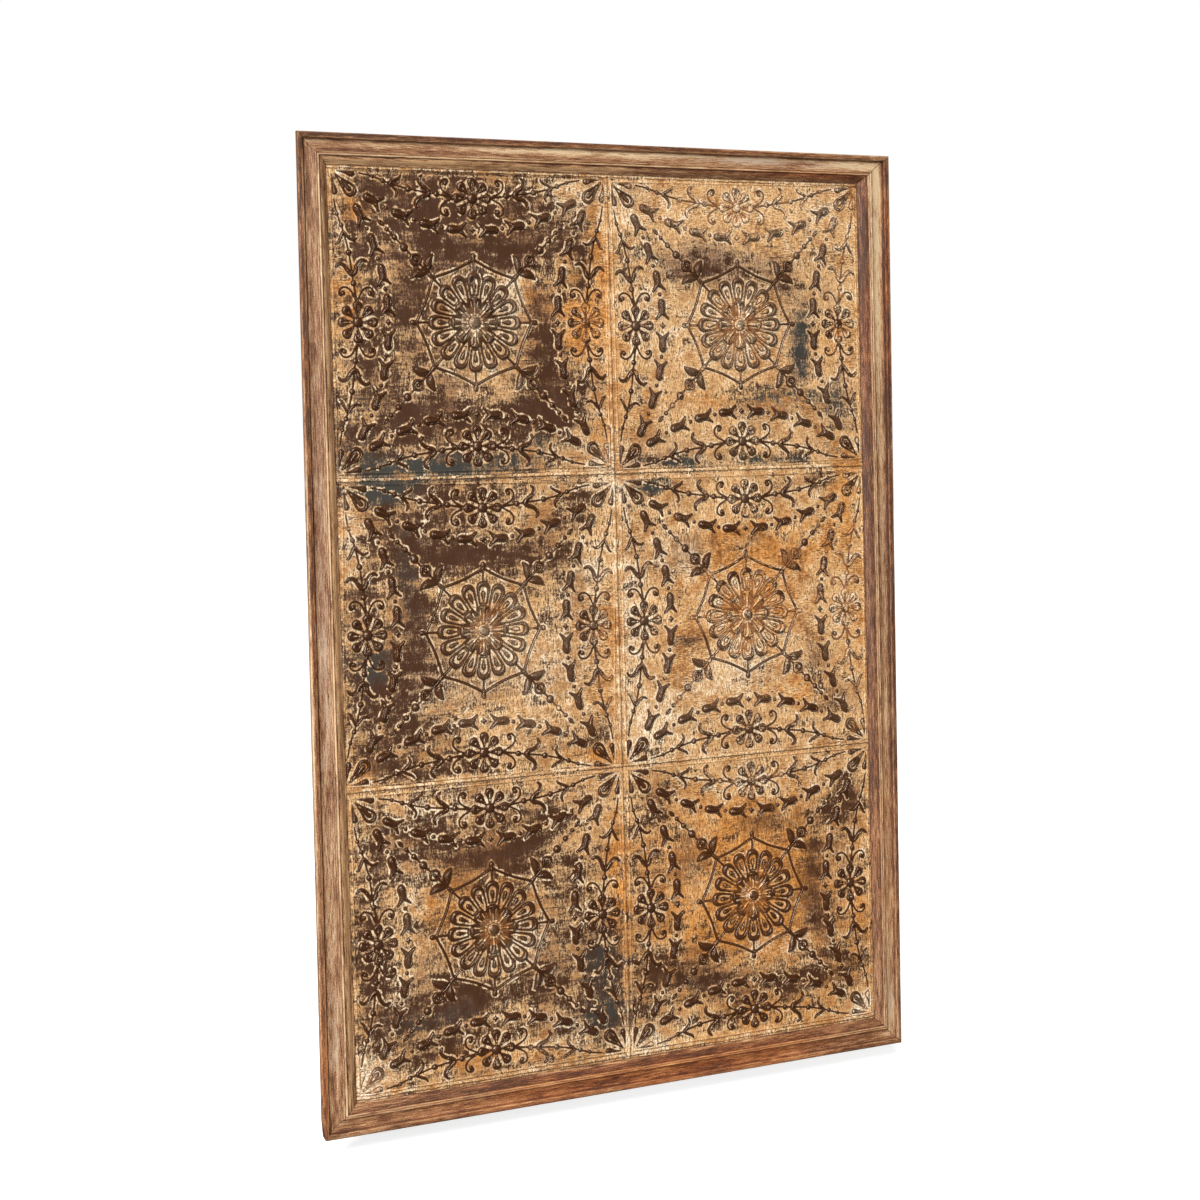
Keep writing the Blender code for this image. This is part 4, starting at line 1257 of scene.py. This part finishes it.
bl_info = {
    "name": "Pressed-iron wall panel",
    "version": (1, 0, 0),
    "blender": (4, 2, 0),
    "location": "3D View > Sidebar > Iron Panel",
    "description": "Builds a worn wall panel of six pressed-iron sheets in a wooden frame",
    "category": "Add Mesh",
}


def paint(name, description, colour):
    return FloatVectorProperty(name=name, description=description, subtype="COLOR", size=4, min=0, max=1,
                               default=(*colour, 1))


class PanelLooks(bpy.types.PropertyGroup):
    """Colours of the iron, its paint and the wood."""

    iron: paint("Iron", "Varnished iron on the relief", (0.041, 0.0125, 0.0035))
    purple: paint("Purple brown", "Bare iron on the field", (0.060, 0.024, 0.012))
    teal: paint("Teal grey", "Darkened iron near the seams", (0.030, 0.029, 0.024))
    rust: paint("Rust", "Rust specks and the sheets' back", (0.120, 0.044, 0.017))
    ochre: paint("Ochre", "Main coat of paint", (0.590, 0.340, 0.142))
    orange: paint("Orange", "Warmer patches of the paint", (0.565, 0.224, 0.042))
    cream: paint("Cream", "Paler paint round the relief", (0.740, 0.575, 0.375))
    veil: paint("Veil", "Thin paint with the iron showing through", (0.215, 0.128, 0.078))
    umber: paint("Umber", "Warm brown in the orange patches", (0.108, 0.036, 0.008))
    stain: paint("Stain", "Brown specks in the paint", (0.170, 0.060, 0.013))
    # Grime and painted shade: the brown line round the relief's foot stands partly for the shade in that
    # corner
    grime_and_shade: paint("Grime", "Brown lines round the relief", (0.150, 0.044, 0.009))
    # Dark wood: dirt, the wood's cracks, and the painted shade in the quirk and grooves
    wood_dark_and_groove_shade: paint("Dark wood", "Dirt in the frame's grooves", (0.052, 0.018, 0.007))
    wood_brown: paint("Brown wood", "Stained wood", (0.178, 0.068, 0.024))
    wood_tan: paint("Tan wood", "Rubbed wood", (0.350, 0.190, 0.092))
    wood_pale: paint("Pale paint", "Cream paint left on the frame", (0.570, 0.405, 0.230))
    wood_grey: paint("Grey wood", "Weathered wood in the cove", (0.310, 0.225, 0.165))
    # Ochre on wood: the sheets' paint over the inner edge, partly painted light that lifts the slope's shade
    gilt_and_painted_light: paint("Ochre on wood", "Sheet paint brushed over the frame's inner edge", (0.560, 0.310, 0.140))
    wood_red: paint("Red wood", "Reddish stain in the wood", (1.0, 0.66, 0.42))


class PanelStage(bpy.types.PropertyGroup):
    """Camera and light."""

    lens: FloatProperty(name="Lens", description="Camera's focal length", default=64.83, unit="CAMERA")
    place: FloatVectorProperty(name="Camera place", description="Where the camera stands", subtype="XYZ",
                               unit="LENGTH", default=(-1.9858, -3.9747, -0.5400))
    angles: FloatVectorProperty(name="Camera angles", description="How the camera is turned", subtype="EULER",
                                unit="ROTATION", default=[math.radians(a) for a in (87.546, 1.164, -26.207)])
    shift: FloatProperty(name="Camera shift", description="Upward shift of the view", default=-0.0687)
    room: FloatProperty(name="Room light", description="Strength of the light from all sides", default=0.15)
    key: FloatProperty(name="Key light", description="Strength of the light from the upper left", default=4.2)
    window: FloatProperty(name="Window light", description="Power of the tall cool light", default=220.0)
    behind: FloatProperty(name="Back light", description="Power of the soft light on the back", default=90.0)


class PANEL_OT_sheets(bpy.types.Operator):
    """Press the six sheets and paint them"""

    bl_idname = "iron_panel.sheets"
    bl_label = "Pressed-Iron Sheets"

    def execute(self, context):
        finish = pressed_iron(context.scene.panel_looks)
        stamp = whole_stamp()
        for node, (cell, offset, turn) in SHEETS.items():
            item = sheet_mesh(node + "_pressed", cell, offset, turn, stamp)
            wear_sheet(item)
            finished(item, node, finish, 62)
        return {"FINISHED"}


class PANEL_OT_frame(bpy.types.Operator):
    """Run the four rails of moulding and stain them"""

    bl_idname = "iron_panel.frame"
    bl_label = "Wooden Frame"

    def execute(self, context):
        finish = frame_wood(context.scene.panel_looks)
        for number, name in enumerate(RAILS):
            finished(rail_mesh(name, number), name, finish, 40)
        return {"FINISHED"}


class PANEL_OT_stage(bpy.types.Operator):
    """Lay the floor and set the lights and the camera"""

    bl_idname = "iron_panel.stage"
    bl_label = "Floor, Lights and Camera"

    def execute(self, context):
        stage = context.scene.panel_stage
        context.scene.view_settings.view_transform = "Standard"
        plain_floor()
        bright_room(stage.room)
        far_light("key", KEY_FROM, stage.key)
        soft_light("window", WINDOW_PLACE, WINDOW_SIZE, stage.window, WINDOW_COLOUR)
        soft_light("behind", BEHIND_PLACE, BEHIND_SIZE, stage.behind)
        set_camera(stage.place, stage.angles, stage.lens, stage.shift)
        return {"FINISHED"}


class PANEL_PT_sidebar(bpy.types.Panel):
    """Sidebar list of the panel's pieces, colours and light"""

    bl_label = "Iron Panel"
    bl_idname = "PANEL_PT_sidebar"
    bl_space_type = "VIEW_3D"
    bl_region_type = "UI"
    bl_category = "Iron Panel"

    def draw(self, context):
        column = self.layout.column()
        for operator in OPERATORS:
            column.operator(operator.bl_idname)
        for group in (context.scene.panel_looks, context.scene.panel_stage):
            for name in group.__annotations__:
                column.prop(group, name)


OPERATORS = (PANEL_OT_sheets, PANEL_OT_frame, PANEL_OT_stage)
CLASSES = (PanelLooks, PanelStage, *OPERATORS, PANEL_PT_sidebar)


def register():
    for kind in CLASSES:
        bpy.utils.register_class(kind)
    bpy.types.Scene.panel_looks = PointerProperty(type=PanelLooks)
    bpy.types.Scene.panel_stage = PointerProperty(type=PanelStage)


def unregister():
    del bpy.types.Scene.panel_stage
    del bpy.types.Scene.panel_looks
    for kind in reversed(CLASSES):
        bpy.utils.unregister_class(kind)


def main():
    register()
    bpy.ops.iron_panel.sheets()
    bpy.ops.iron_panel.frame()
    bpy.ops.iron_panel.stage()


if __name__ == "__main__":
    main()
